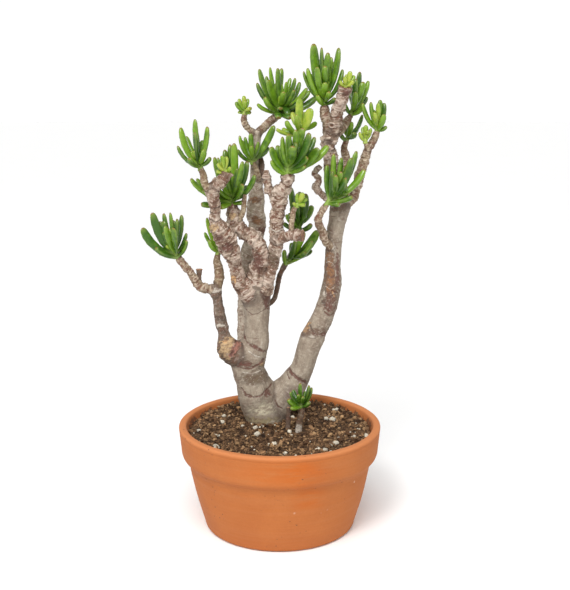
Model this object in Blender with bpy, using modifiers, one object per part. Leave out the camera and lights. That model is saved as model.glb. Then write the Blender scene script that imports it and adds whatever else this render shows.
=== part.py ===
"""A finger-leaf jade plant in a clay bulb pan.

Metres, +Z up. The pan is a turned shape. Every stem is a tapered tube, and every tuft of leaves is a green
shoot tip with its leaves fused to it. The plant is laid out in millimetres from the middle of the soil, so
it rises and falls with the pan. Pieces that touch are kept CLEARANCE apart.
"""

import math

import bmesh
import bpy
from mathutils import Vector

MM = 0.001

# The clay pan
PAN_HEIGHT = 0.1095
PAN_RIM_RADIUS = 0.105
PAN_WALL = 0.0078
PAN_FLOOR = 0.009
BAND_HEIGHT = 0.0362
BAND_TAPER = 0.0022
BAND_STEP = 0.0088
LIP_ROUND = 0.0026
PAN_FOOT_RADIUS = 0.0795
FOOT_ROUND = 0.005
BODY_SWELL = 0.001
DRAIN_RADIUS = 0.0095
PAN_STEPS = 40

# The soil
SOIL_DROP = 0.0085
SOIL_DOME = 0.0016
SOIL_SHORE = 0.002
SOIL_SLOPE = 0.006

# The plant
PLANT_SCALE = 1.0
STEM_GIRTH = 1.0
LEAF_GIRTH = 1.0
CLEARANCE = 0.00035
WELD = 0.000002

# The green shoot in the middle of a tuft: it starts this far inside the stem's end, and a thin stem's shoot
# stands this much proud of it
SHOOT_RADIUS = 0.0027
SHOOT_SUNK = 0.0015
SHOOT_PROUD = 0.0004
SHOOT_TIP_SHARE = 0.6
# The lowest and the highest leaf spring from these shares of the shoot's length
FIRST_LEAF_AT = 0.1
LAST_LEAF_AT = 0.95

# Sides of the rods
TRUNK_SIDES = 14
STEM_SIDES = 8
LEAF_SIDES = 6
THIN_LEAF_SIDES = 4
THIN_LEAF = 0.0052
THICK_STEM = 0.009
# Edges that turn by more degrees than this stay sharp
SHARP_PAN = 40
SHARP_STEM = 50
SHARP_LEAF = 60

# Along a leaf: how far from its foot, and its radius as a share of its width
LEAF_STATIONS = ((0.0, 0.26), (0.68, 0.5), (1.0, 0.36))
# Where the leaf's path bends: it first leaves the shoot sideways and then turns up or down
LEAF_BEND_OUT = 0.62
LEAF_BEND_UP = 0.36

TERRACOTTA = (0.60, 0.22, 0.075)
SOIL_BROWN = (0.075, 0.045, 0.028)
BARK = (0.33, 0.26, 0.21)
OLD_BARK = (0.42, 0.36, 0.30)
LEAF_GREEN = (0.10, 0.24, 0.03)

# Name, the stem that it grows from, and its centre line: x, y, height over the soil and radius, in mm
STEMS = (
    ("left_trunk", "", (
        (-16, 33, -15, 22.5), (-18, 33, 4, 21), (-23, 33, 19, 20), (-26, 32, 33, 19.5),
        (-29, 31, 44, 17.5), (-33, 31, 56, 16.5), (-33, 31, 67, 17), (-30, 31, 76, 16),
        (-26, 30, 86, 14), (-25, 30, 100, 13), (-24, 29, 122, 13.5), (-24, 29, 135, 14.5),
        (-24, 29, 145, 15), (-25, 29, 153, 12.5),)),
    ("right_trunk", "left_trunk", (
        (-11, 36, 8, 16.5), (-1, 36, 19, 16), (9, 35, 31, 16), (17, 34, 44, 14.5),
        (23, 33, 55, 12.5), (30, 32, 77, 12.5), (34, 31, 89, 13), (38, 30, 100, 12),
        (44, 30, 111, 11), (48, 30, 122, 10.5), (52, 29, 137, 10), (55, 28, 154, 9.5),
        (55, 28, 167, 8.5), (56, 28, 186, 8.5), (57, 28, 201, 8.5), (60, 28, 217, 9),
        (62, 28, 229, 9.5), (63, 28, 236, 8),)),
    ("back_stem", "left_trunk", (
        (-33, 36, 60, 8.5), (-36, 44, 78, 9), (-37, 49, 104, 9), (-36, 51, 133, 9),
        (-35, 52, 160, 8.5), (-32, 53, 182, 8.5), (-26, 54, 197, 8), (-24, 55, 209, 9),
        (-26, 55, 222, 9), (-25, 55, 236, 8.5), (-25, 55, 247, 7.5), (-25, 55, 257, 6.5),
        (-26, 55, 268, 5), (-26, 55, 282, 4.5), (-24, 55, 296, 4), (-24, 55, 306, 4.5),)),
    ("side_branch", "left_trunk", (
        (-42, 28, 72, 11.5), (-52, 25, 79, 13), (-57, 23, 89, 9.5), (-59, 22, 98, 6),
        (-61, 21, 108, 6.5), (-63, 20, 120, 6), (-65, 20, 135, 5), (-67, 20, 144, 6),
        (-68, 20, 149, 5.5),)),
    ("side_shoot", "side_branch", (
        (-66, 20, 145, 4), (-63, 21, 156, 4.5), (-63, 22, 166, 4.5), (-65, 23, 176, 3.5),
        (-64, 24, 183, 2.5),)),
    ("side_arm", "side_branch", (
        (-70, 19, 146, 4.5), (-76, 17, 147, 4.5), (-82, 15, 150, 4.5), (-87, 13, 157, 4),
        (-92, 11, 166, 3.5), (-97, 10, 172, 3.5), (-103, 9, 180, 3.5),)),
    ("side_stub", "side_arm", (
        (-83, 15, 153, 2), (-83, 15, 161, 2), (-83, 15, 166, 3), (-83, 15, 170, 3.5),)),
    ("front_branch", "left_trunk", (
        (-28, 25, 137, 10.5), (-35, 21, 146, 10.5), (-40, 18, 153, 9), (-44, 14, 166, 6.5),
        (-46, 10, 178, 6.5), (-49, 6, 187, 8.5), (-53, 3, 196, 9.5), (-56, 0, 205, 10),
        (-60, -3, 212, 9), (-64, -5, 222, 5.5), (-64, -7, 232, 5), (-65, -9, 242, 5.5),
        (-67, -10, 252, 6.5),)),
    ("front_twig", "front_branch", (
        (-68, -11, 252, 4), (-72, -13, 256, 3.5), (-74, -14, 262, 3.5), (-75, -15, 269, 3),
        (-77, -16, 273, 3),)),
    ("front_stub", "front_branch", (
        (-67, -10, 252, 5), (-62, -10, 257, 5.5), (-57, -10, 261, 5.5), (-53, -10, 266, 5.5),
        (-52, -10, 269, 6),)),
    ("middle_branch", "left_trunk", (
        (-24, 22, 152, 9), (-22, 17, 166, 9), (-18, 14, 178, 7.5), (-20, 13, 188, 7.5),
        (-23, 13, 196, 7), (-30, 14, 203, 7), (-40, 16, 209, 7.5), (-45, 18, 216, 7.5),
        (-47, 20, 225, 7), (-49, 21, 233, 5.5),)),
    ("middle_twig", "middle_branch", (
        (-42, 14, 218, 2.5), (-37, 12, 228, 2.5), (-36, 11, 237, 2.5), (-35, 11, 245, 2),)),
    ("centre_branch", "left_trunk", (
        (-16, 20, 144, 7.5), (-11, 15, 160, 6), (-7, 12, 173, 6), (-5, 10, 184, 6),
        (-3, 9, 194, 6.5), (-3, 8, 210, 6.5), (-3, 7, 220, 6.5), (-1, 6, 231, 6.5),
        (0, 5, 241, 7.5), (0, 4, 247, 8), (6, 2, 255, 5.5), (8, 0, 261, 6), (8, -1, 265, 6.5),)),
    ("centre_dry_twig", "centre_branch", (
        (-6, 5, 245, 4), (-10, 5, 251, 4), (-12, 5, 258, 3.5), (-13, 5, 265, 3.5),
        (-13, 5, 270, 2.5),)),
    ("centre_low_arm", "centre_branch", (
        (-3, 7, 200, 5.5), (5, 3, 203, 5), (16, -1, 206, 5.5), (20, -3, 206, 6), (23, -4, 206, 6),)),
    ("centre_thin_shoot", "centre_low_arm", (
        (13, 0, 208, 2.5), (12, 0, 213, 2.5), (13, 0, 223, 2.5), (14, 0, 230, 2.5),
        (17, 0, 235, 2),)),
    ("centre_back_shoot", "centre_branch", (
        (5, 8, 253, 3.5), (9, 14, 264, 3), (14, 17, 280, 3), (18, 18, 293, 2.5),
        (20, 18, 302, 2.5),)),
    ("hidden_twig", "left_trunk", (
        (-15, 34, 125, 2.5), (-7, 40, 130, 2.5), (-3, 44, 142, 2.5), (0, 47, 156, 2.5),
        (5, 49, 166, 2.5),)),
    ("hidden_shoot", "hidden_twig", (
        (4, 49, 164, 2.5), (11, 52, 176, 2.5), (17, 53, 190, 2.5), (20, 53, 201, 2.5),)),
    ("back_left_twig", "back_stem", (
        (-25, 55, 304, 3.5), (-30, 54, 307, 3), (-34, 53, 311, 3), (-37, 52, 318, 3),
        (-36, 52, 325, 2.5),)),
    ("back_right_twig", "back_stem", (
        (-23, 56, 304, 4), (-17, 57, 310, 4), (-11, 58, 316, 4), (-6, 58, 320, 4),
        (-2, 58, 322, 3),)),
    ("back_short_twig", "back_stem", (
        (-23, 49, 257, 3), (-23, 45, 262, 3), (-25, 43, 270, 2.5), (-28, 42, 275, 2.5),)),
    ("back_dead_stub", "back_stem", (
        (-22, 54, 257, 3), (-19, 54, 265, 2.5), (-19, 54, 274, 2.5), (-20, 54, 281, 2),)),
    ("right_limb", "right_trunk", (
        (65, 28, 232, 5.5), (70, 29, 235, 5), (76, 30, 241, 4.5), (78, 30, 249, 4.5),
        (81, 30, 258, 4.5), (84, 30, 269, 4.5), (87, 30, 279, 4.5), (90, 30, 289, 4),
        (96, 30, 299, 3.5), (99, 30, 307, 3),)),
    ("right_limb_twig", "right_limb", (
        (90, 28, 288, 2.5), (89, 27, 292, 2.5), (87, 26, 297, 2),)),
    ("upper_trunk", "right_trunk", (
        (63, 28, 232, 7.5), (60, 28, 242, 7), (57, 28, 257, 7), (53, 28, 272, 7),
        (51, 28, 284, 6.5), (50, 28, 294, 6.5), (52, 28, 304, 7.5), (53, 28, 310, 7),)),
    ("top_arm", "upper_trunk", (
        (51, 27, 308, 5.5), (48, 26, 317, 5), (46, 26, 325, 5), (45, 26, 332, 4.5),)),
    ("top_stub", "upper_trunk", (
        (55, 26, 308, 6), (57, 22, 319, 6), (58, 19, 329, 5.5), (62, 17, 339, 5.5),
        (64, 16, 346, 6), (65, 15, 351, 6.5),)),
    ("top_right_arm", "upper_trunk", (
        (58, 32, 305, 4), (64, 36, 310, 3.5), (69, 42, 317, 3.5), (73, 46, 323, 3),)),
    ("inner_stem", "upper_trunk", (
        (61, 36, 257, 4), (65, 42, 264, 3.5), (68, 46, 273, 3.5), (69, 48, 281, 3.5),
        (67, 49, 289, 3), (69, 50, 297, 3),)),
    ("gnarled_twig", "upper_trunk", (
        (57, 22, 241, 3.5), (48, 16, 241, 3), (42, 14, 246, 3), (37, 13, 253, 3),
        (40, 13, 260, 2.5), (36, 13, 267, 2.5), (41, 13, 274, 2.5),)),
    ("right_front_stem", "right_trunk", (
        (53, 22, 190, 4), (47, 15, 197, 3.5), (43, 9, 209, 3.5), (39, 5, 219, 3.5),
        (42, 3, 228, 3), (47, 1, 236, 3),)),
    ("young_stem", "", (
        (19, -9, -9, 3), (20, -9, 8, 3), (22, -9, 19, 3), (23, -9, 26, 3),)),
    ("dead_stub", "", (
        (8, -4, -7, 2.5), (9, -4, 14, 2.5), (9, -4, 25, 2),)),
)

TUFTS = (
    ("back_left_leaves", "back_left_twig", (-36, 52, 330), (
        (-43, 54, 327, 4), (-30, 47, 326, 4), (-45, 50, 337, 4.5), (-42, 56, 340, 4.5),
        (-35, 45, 338, 4.5), (-30, 44, 331, 4.5), (-33, 58, 340, 4), (-37, 55, 343, 4),)),
    ("back_right_leaves", "back_right_twig", (0, 58, 335), (
        (38, 64, 342, 6.5), (22, 44, 323, 6), (11, 38, 321, 6), (-23, 52, 335, 5),
        (31, 68, 348, 6.5), (-15, 44, 342, 6.5), (-1, 36, 321, 6), (28, 54, 351, 6.5),
        (21, 72, 357, 5), (-21, 60, 370, 6.5), (-23, 48, 356, 5.5), (15, 40, 349, 5),
        (-14, 74, 363, 5), (-11, 46, 359, 9), (-10, 68, 372, 4.5), (-2, 64, 371, 5.5),
        (4, 36, 347, 7), (16, 58, 361, 4.5), (7, 44, 357, 4.5), (2, 74, 371, 6),
        (11, 70, 361, 4.5), (-6, 82, 355, 6), (9, 84, 353, 6),)),
    ("back_short_leaves", "back_short_twig", (-28, 41, 282), (
        (-43, 36, 289, 4.5), (-6, 48, 313, 7), (-39, 46, 298, 4.5), (-41, 38, 303, 4.5),
        (-29, 32, 293, 4.5), (-12, 50, 291, 4.5), (-36, 49, 301, 4.5), (-22, 35, 297, 5),
        (-30, 45, 305, 5), (-19, 55, 287, 5), (-34, 55, 287, 5),)),
    ("side_shoot_leaves", "side_shoot", (-64, 24, 191), (
        (-56, 30, 198, 5), (-72, 18, 198, 6), (-78, 32, 204, 4), (-75, 26, 220, 5),
        (-67, 34, 214, 5.5), (-59, 38, 210, 5), (-62, 16, 207, 6),)),
    ("side_arm_leaves", "side_arm", (-108, 8, 190), (
        (-125, 1, 193, 6), (-139, 7, 212, 7.5), (-94, 3, 200, 5), (-99, 17, 191, 5),
        (-129, 12, 227, 8), (-105, -15, 215, 8), (-123, 21, 217, 5), (-114, -8, 216, 5.5),
        (-95, 12, 206, 5), (-118, 14, 226, 5), (-103, 0, 222, 5.5), (-111, 12, 227, 5),
        (-100, 16, 224, 6), (-120, 30, 205, 5.5), (-103, 28, 209, 5.5),)),
    ("front_twig_leaves", "front_twig", (-79, -16, 283), (
        (-98, -24, 296, 5), (-86, -36, 285, 5.5), (-96, -12, 313, 6), (-67, -24, 285, 5),
        (-81, -30, 309, 7), (-72, -32, 293, 5), (-70, -14, 314, 6), (-82, -12, 321, 6),
        (-82, -4, 311, 5), (-92, 0, 304, 5), (-76, 2, 300, 5.5),)),
    ("front_stub_leaves", "front_stub", (-55, -12, 274), (
        (-62, -12, 271, 4), (-48, -12, 275, 4), (-60, -15, 279, 4), (-52, -11, 285, 4.5),
        (-56, -15, 286, 4.5), (-58, -7, 279, 4),)),
    ("middle_leaves", "middle_branch", (-48, 20, 246), (
        (-79, 7, 236, 6), (-59, -1, 234, 6), (-37, 11, 238, 5), (-90, 19, 261, 6),
        (-76, 1, 251, 6), (-85, 29, 260, 5), (-37, -1, 257, 7.5), (-25, 17, 265, 6.5),
        (-33, 29, 253, 6), (-66, 25, 282, 5.5), (-63, 32, 281, 5.5), (-37, 6, 279, 6),
        (-33, 22, 278, 6), (-42, 6, 272, 6), (-56, 32, 289, 6), (-51, 38, 294, 5.5),
        (-46, 24, 296, 6.5), (-52, 8, 270, 7), (-61, 42, 264, 6), (-43, 44, 261, 6),)),
    ("centre_leaves", "centre_branch", (10, -3, 278), (
        (-8, -9, 281, 5), (-8, -4, 294, 7), (38, -3, 293, 8.5), (25, -21, 277, 7),
        (48, 4, 295, 6.5), (-2, 6, 295, 5), (35, 8, 303, 5), (27, -24, 285, 7.5),
        (29, -16, 308, 7), (3, -10, 304, 6), (23, 2, 312, 8), (9, -18, 307, 7.5),
        (16, -11, 311, 6), (13, -27, 296, 6.5), (3, 15, 290, 6), (21, 19, 292, 6),)),
    ("centre_top_leaves", "centre_back_shoot", (21, 18, 312), (
        (-3, 12, 311, 4.5), (7, 10, 319, 6), (3, 26, 311, 5), (31, 14, 331, 9), (17, 8, 325, 5),
        (20, 18, 341, 8), (37, 32, 317, 5), (13, 32, 327, 5), (26, 34, 327, 5),)),
    ("thin_shoot_leaves", "centre_thin_shoot", (19, 0, 240), (
        (14, -3, 239, 4), (26, -3, 237, 4.5), (18, -1, 248, 4.5), (27, 1, 243, 4.5),
        (23, -4, 249, 4.5), (21, 5, 244, 4),)),
    ("hidden_high_leaves", "hidden_shoot", (22, 53, 214), (
        (33, 45, 211, 6.5), (4, 47, 212, 5.5), (7, 55, 220, 5.5), (27, 43, 243, 7),
        (10, 41, 223, 5), (12, 55, 248, 6.5), (19, 39, 239, 6), (34, 59, 229, 6),
        (21, 63, 243, 6.5), (13, 67, 227, 6), (29, 71, 218, 6),)),
    ("hidden_low_leaves", "hidden_twig", (12, 48, 176), (
        (5, 41, 184, 5.5), (40, 47, 204, 8), (34, 39, 194, 6.5), (25, 35, 204, 8.5),
        (17, 32, 196, 6.5), (34, 54, 182, 6), (21, 60, 196, 6.5), (27, 32, 183, 5.5),
        (13, 58, 189, 6),)),
    ("top_leaves", "top_arm", (46, 26, 349), (
        (38, 18, 344, 5.5), (55, 14, 341, 5), (24, 22, 367, 5), (28, 16, 370, 6), (49, 6, 347, 5),
        (63, 26, 369, 5), (37, 8, 371, 6), (34, 29, 394, 9), (45, 6, 356, 6), (59, 28, 390, 6.5),
        (42, 22, 390, 5.5), (48, 18, 385, 5.5), (52, 32, 381, 5), (41, 42, 379, 5.5),
        (54, 44, 377, 5.5), (31, 46, 365, 5.5), (45, 12, 372, 6),)),
    ("top_stub_leaves", "top_stub", (66, 14, 356), (
        (60, 12, 358, 4), (73, 13, 358, 4.5), (65, 11, 362, 4.5), (70, 14, 367, 4.5),
        (74, 16, 363, 4.5), (67, 20, 364, 4),)),
    ("top_right_leaves", "top_right_arm", (76, 46, 333), (
        (85, 34, 334, 7.5), (67, 42, 335, 5), (90, 52, 342, 5.5), (77, 32, 347, 6),
        (91, 50, 358, 5), (82, 48, 367, 6.5), (77, 36, 360, 6), (85, 40, 357, 6.5),
        (73, 58, 353, 5.5), (86, 64, 349, 5.5),)),
    ("inner_leaves", "inner_stem", (72, 50, 304), (
        (63, 44, 305, 5), (85, 46, 324, 5), (77, 36, 306, 5.5), (74, 42, 317, 5.5),
        (67, 54, 316, 5), (81, 60, 310, 5), (73, 60, 322, 5),)),
    ("right_limb_leaves", "right_limb", (100, 30, 315), (
        (108, 26, 313, 4.5), (105, 20, 325, 5), (84, 30, 336, 5), (92, 26, 337, 5),
        (106, 32, 336, 5.5), (99, 22, 336, 5.5), (102, 33, 339, 5.5), (95, 18, 327, 5),
        (96, 42, 329, 5), (106, 44, 331, 5),)),
    ("right_twig_leaves", "right_limb_twig", (87, 26, 305), (
        (81, 24, 307, 4.5), (92, 24, 311, 4.5), (87, 23, 314, 4.5), (85, 31, 312, 4),
        (91, 32, 307, 4), (89, 19, 309, 4),)),
    ("right_front_leaves", "right_front_stem", (58, 0, 253), (
        (60, -7, 238, 5.5), (72, -13, 246, 6), (85, 5, 271, 6.5), (48, 7, 276, 6.5),
        (52, -15, 271, 6), (77, 9, 289, 5.5), (65, -23, 265, 7), (54, 2, 287, 6),
        (55, -24, 268, 6), (72, 2, 283, 6.5), (62, 6, 283, 6), (60, -22, 271, 6), (69, 18, 274, 6),
        (54, 20, 271, 6),)),
    ("young_leaves", "young_stem", (22, -10, 34), (
        (9, -15, 38, 6.5), (12, -21, 30, 5.5), (30, -19, 36, 6), (33, -11, 49, 5),
        (11, -12, 45, 5), (30, -16, 53, 5.5), (21, -12, 54, 5), (19, -18, 44, 4.5),
        (24, -19, 42, 4.5), (14, -2, 44, 5), (27, -1, 42, 5),)),
)

PALE_STEMS = ("left_trunk", "right_trunk", "back_stem")


def clear_scene():
    for obj in list(bpy.data.objects):
        bpy.data.objects.remove(obj, do_unlink=True)


def new_collection(name):
    collection = bpy.data.collections.new(name)
    bpy.context.scene.collection.children.link(collection)
    return collection


def material(name, colour, roughness):
    made = bpy.data.materials.new(name)
    made.use_nodes = True
    shader = made.node_tree.nodes["Principled BSDF"]
    shader.inputs["Base Color"].default_value = (*colour, 1.0)
    shader.inputs["Roughness"].default_value = roughness
    shader.inputs["Metallic"].default_value = 0.0
    made.diffuse_color = (*colour, 1.0)
    return made


def evaluated_mesh(obj):
    """The mesh that an object's modifiers or curve settings give, with doubled points welded."""
    graph = bpy.context.evaluated_depsgraph_get()
    mesh = bpy.data.meshes.new_from_object(obj.evaluated_get(graph))
    mesh.transform(obj.matrix_world)
    work = bmesh.new()
    work.from_mesh(mesh)
    bmesh.ops.remove_doubles(work, verts=work.verts, dist=WELD)
    work.to_mesh(mesh)
    work.free()
    return mesh


def tube(name, points, radii, sides, collection):
    """A round rod along the points, capped at both ends."""
    curve = bpy.data.curves.new(name, "CURVE")
    curve.dimensions = "3D"
    curve.bevel_depth = MM
    curve.bevel_resolution = (sides - 4) // 2
    curve.use_fill_caps = True
    spline = curve.splines.new("POLY")
    spline.points.add(len(points) - 1)
    for knot, point, radius in zip(spline.points, points, radii):
        knot.co = (*point, 1.0)
        knot.radius = radius / MM
    guide = bpy.data.objects.new(name, curve)
    collection.objects.link(guide)
    bpy.context.view_layer.update()
    mesh = evaluated_mesh(guide)
    bpy.data.objects.remove(guide, do_unlink=True)
    bpy.data.curves.remove(curve)
    rod = bpy.data.objects.new(name, mesh)
    collection.objects.link(rod)
    return rod


def grown_tube(name, rod, collection):
    """The same rod with CLEARANCE added all round and past both ends."""
    points, radii, sides = rod
    first = (points[0] - points[1]).normalized() * CLEARANCE
    last = (points[-1] - points[-2]).normalized() * CLEARANCE
    spread = [points[0] + first, *points[1:-1], points[-1] + last]
    return tube(name, spread, [radius + CLEARANCE for radius in radii], sides, collection)


def drop_crumbs(mesh):
    """Keeps only the largest body of a mesh, because a trim can leave a sliver behind."""
    work = bmesh.new()
    work.from_mesh(mesh)
    unseen, bodies = set(work.verts), []
    while unseen:
        body, edge = set(), [unseen.pop()]
        while edge:
            vertex = edge.pop()
            body.add(vertex)
            linked = {link.other_vert(vertex) for link in vertex.link_edges} & unseen
            unseen -= linked
            edge += linked
        bodies.append(body)
    bodies.sort(key=len)
    crumbs = [vertex for body in bodies[:-1] for vertex in body]
    bmesh.ops.delete(work, geom=crumbs, context="VERTS")
    work.to_mesh(mesh)
    work.free()


def settle(obj, operation, helpers):
    """Applies one exact Boolean with every object in the helpers collection, then empties it."""
    modifier = obj.modifiers.new(operation.lower(), "BOOLEAN")
    modifier.operation = operation
    modifier.solver = "EXACT"
    modifier.operand_type = "COLLECTION"
    modifier.collection = helpers
    bpy.context.view_layer.update()
    mesh = evaluated_mesh(obj)
    drop_crumbs(mesh)
    old = obj.data
    obj.modifiers.clear()
    obj.data = mesh
    bpy.data.meshes.remove(old)
    for helper in list(helpers.objects):
        bpy.data.objects.remove(helper, do_unlink=True)


def box_of(rod):
    points, radii, _ = rod
    low = [min(p[i] - r for p, r in zip(points, radii)) for i in range(3)]
    high = [max(p[i] + r for p, r in zip(points, radii)) for i in range(3)]
    return low, high


def meets(rod, other):
    (low, high), (low2, high2) = box_of(rod), box_of(other)
    gap = 2 * CLEARANCE
    return all(low[i] < high2[i] + gap and low2[i] < high[i] + gap for i in range(3))


def carve(obj, rods, earlier, helpers):
    """Trims obj where it would enter pieces that are already there."""
    near = [other for other in earlier if any(meets(rod, other) for rod in rods)]
    if not near:
        return
    for index, other in enumerate(near):
        grown_tube(f"clear_{index}", other, helpers)
    settle(obj, "DIFFERENCE", helpers)


def turned(name, profile, steps, collection):
    """A closed outline in the XZ plane, turned about Z. It starts on top and runs down the outside."""
    mesh = bpy.data.meshes.new(name)
    count = len(profile)
    edges = [(i, (i + 1) % count) for i in range(count)]
    mesh.from_pydata([(x, 0.0, z) for x, z in profile], edges, [])
    obj = bpy.data.objects.new(name, mesh)
    collection.objects.link(obj)
    screw = obj.modifiers.new("turn", "SCREW")
    screw.axis = "Z"
    screw.steps = steps
    screw.render_steps = steps
    screw.use_merge_vertices = True
    screw.merge_threshold = WELD
    bpy.context.view_layer.update()
    solid = evaluated_mesh(obj)
    obj.modifiers.clear()
    obj.data = solid
    bpy.data.meshes.remove(mesh)
    return obj


def soften(obj, degrees):
    obj.data.polygons.foreach_set("use_smooth", [True] * len(obj.data.polygons))
    obj.data.set_sharp_from_angle(angle=math.radians(degrees))


def inner_radius(height):
    """The pan's inside radius at a height over the floor that it stands on."""
    top = PAN_RIM_RADIUS - PAN_WALL
    foot = PAN_FOOT_RADIUS - PAN_WALL
    share = (height - PAN_FLOOR) / (PAN_HEIGHT - PAN_FLOOR)
    return foot + (top - foot) * share


def pan_profile():
    rim, top = PAN_RIM_RADIUS, PAN_HEIGHT
    under_band = top - BAND_HEIGHT
    band_foot = rim - BAND_TAPER
    body_top = band_foot - BAND_STEP
    middle = (body_top + PAN_FOOT_RADIUS) / 2 + BODY_SWELL
    return (
        (rim - LIP_ROUND, top),
        (rim - 0.3 * LIP_ROUND, top - 0.3 * LIP_ROUND),
        (rim, top - LIP_ROUND),
        (rim - 0.4 * BAND_TAPER, top - 0.3 * BAND_HEIGHT),
        (band_foot, under_band),
        (band_foot - 0.25 * BAND_STEP, under_band - 0.4 * BAND_STEP),
        (band_foot - 0.7 * BAND_STEP, under_band - 0.75 * BAND_STEP),
        (body_top, under_band - 1.2 * BAND_STEP),
        (middle, under_band / 2),
        (PAN_FOOT_RADIUS, FOOT_ROUND),
        (PAN_FOOT_RADIUS - 0.35 * FOOT_ROUND, 0.3 * FOOT_ROUND),
        (PAN_FOOT_RADIUS - FOOT_ROUND, 0.0),
        (DRAIN_RADIUS, 0.0),
        (DRAIN_RADIUS, PAN_FLOOR),
        (inner_radius(PAN_FLOOR), PAN_FLOOR),
        (inner_radius(top - LIP_ROUND), top - LIP_ROUND),
        (inner_radius(top) + 0.7 * LIP_ROUND, top - 0.3 * LIP_ROUND),
        (inner_radius(top) + LIP_ROUND, top),
    )


def soil_height():
    return PAN_HEIGHT - SOIL_DROP


def soil_profile():
    level = soil_height()
    foot = PAN_FLOOR + CLEARANCE
    shore = level - SOIL_SHORE
    edge = inner_radius(shore) - CLEARANCE
    # The Screw merges the points that lie on the axis.
    return (
        (0.0, level + SOIL_DOME),
        (0.35 * edge, level + 0.9 * SOIL_DOME),
        (0.7 * edge, level + 0.3 * SOIL_DOME),
        (edge - SOIL_SLOPE, level - 0.2 * SOIL_SHORE),
        (edge, shore),
        (inner_radius(foot) - CLEARANCE, foot),
        (0.0, foot),
    )


def placed(point):
    """A point of the layout, in metres from the middle of the pan's foot."""
    x, y, z = (MM * PLANT_SCALE * value for value in point)
    return Vector((x, y, z + soil_height()))


def stem_rods():
    """Name, parent and rod of each stem."""
    for name, parent, line in STEMS:
        points = [placed(knot[:3]) for knot in line]
        radii = [MM * PLANT_SCALE * STEM_GIRTH * knot[3] for knot in line]
        sides = TRUNK_SIDES if max(radii) > THICK_STEM * PLANT_SCALE * STEM_GIRTH else STEM_SIDES
        yield name, parent, (points, radii, sides)


def leaf_rod(foot, tip, width):
    """A finger leaf: thin at its foot, widest past its middle, blunt at its tip, on a bent path."""
    reach = tip - foot
    bend = foot + Vector((reach.x * LEAF_BEND_OUT, reach.y * LEAF_BEND_OUT, reach.z * LEAF_BEND_UP))
    points = []
    for share, _ in LEAF_STATIONS:
        points.append(foot.lerp(bend, share).lerp(bend.lerp(tip, share), share))
    sides = THIN_LEAF_SIDES if width < THIN_LEAF * PLANT_SCALE * LEAF_GIRTH else LEAF_SIDES
    return points, [width * factor for _, factor in LEAF_STATIONS], sides


def tuft_rods(stem_rod, shoot_tip, leaves):
    """The rods of a tuft: its shoot tip, then its leaves from the lowest to the highest."""
    points, radii, _ = stem_rod
    end = points[-1]
    sunk = end + (points[-2] - end).normalized() * SHOOT_SUNK
    tip = placed(shoot_tip)
    core = min(SHOOT_RADIUS * PLANT_SCALE, radii[-1] + SHOOT_PROUD)
    rods = [([sunk, end, tip], [core, core, core * SHOOT_TIP_SHARE], LEAF_SIDES)]
    step = (LAST_LEAF_AT - FIRST_LEAF_AT) / (len(leaves) - 1)
    for index, leaf in enumerate(leaves):
        foot = end.lerp(tip, FIRST_LEAF_AT + step * index)
        width = MM * PLANT_SCALE * LEAF_GIRTH * leaf[3]
        rods.append(leaf_rod(foot, placed(leaf[:3]), width))
    return rods


def build_pan(collection):
    pan = turned("terracotta_pot", pan_profile(), PAN_STEPS, collection)
    soften(pan, SHARP_PAN)
    pan.data.materials.append(material("terracotta", TERRACOTTA, 0.85))
    return pan


def build_soil(rods, collection, helpers):
    soil = turned("potting_soil", soil_profile(), PAN_STEPS, collection)
    deepest = soil_height() + SOIL_DOME + 2 * CLEARANCE
    rooted = [rod for rod in rods if box_of(rod)[0][2] < deepest]
    for index, rod in enumerate(rooted):
        grown_tube(f"clear_{index}", rod, helpers)
    settle(soil, "DIFFERENCE", helpers)
    soften(soil, SHARP_PAN)
    soil.data.materials.append(material("soil", SOIL_BROWN, 0.95))
    return soil


def build_stems(collection, helpers):
    """The stems, each trimmed by the ones before it. Returns the objects and the rods by name."""
    rods, made = {}, []
    for name, _, rod in stem_rods():
        stem = tube(name, *rod, collection)
        carve(stem, [rod], list(rods.values()), helpers)
        soften(stem, SHARP_STEM)
        colour = OLD_BARK if name in PALE_STEMS else BARK
        stem.data.materials.append(material(f"bark_{name}", colour, 0.8))
        rods[name] = rod
        made.append(stem)
    return made, rods


def build_tufts(stems, collection, helpers):
    """The tufts of leaves, each trimmed by the stems and by the tufts before it."""
    earlier, made = list(stems.values()), []
    for name, stem, shoot_tip, leaves in TUFTS:
        rods = tuft_rods(stems[stem], shoot_tip, leaves)
        tuft = tube(name, *rods[0], collection)
        for index, rod in enumerate(rods[1:]):
            tube(f"leaf_{index}", *rod, helpers)
        settle(tuft, "UNION", helpers)
        carve(tuft, rods, earlier, helpers)
        soften(tuft, SHARP_LEAF)
        tuft.data.materials.append(material(f"leaf_{name}", LEAF_GREEN, 0.35))
        earlier += rods
        made.append(tuft)
    return made


def stand_on_origin(pieces):
    """Parents the pieces to one empty and puts the middle of the whole object's foot on the origin."""
    corners = [vertex.co for piece in pieces for vertex in piece.data.vertices]
    middle = [(min(c[i] for c in corners) + max(c[i] for c in corners)) / 2 for i in range(2)]
    root = bpy.data.objects.new("potted_jade_plant", None)
    root.location = (-middle[0], -middle[1], 0.0)
    bpy.data.collections["potted_jade_plant"].objects.link(root)
    for piece in pieces:
        piece.parent = root
    bpy.context.view_layer.update()


def main():
    clear_scene()
    bpy.context.scene.unit_settings.system = "METRIC"
    collection = new_collection("potted_jade_plant")
    helpers = new_collection("helpers")
    helpers.hide_render = True
    stems, rods = build_stems(collection, helpers)
    pieces = [build_pan(collection), build_soil(rods.values(), collection, helpers), *stems]
    pieces += build_tufts(rods, collection, helpers)
    stand_on_origin(pieces)


main()
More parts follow.
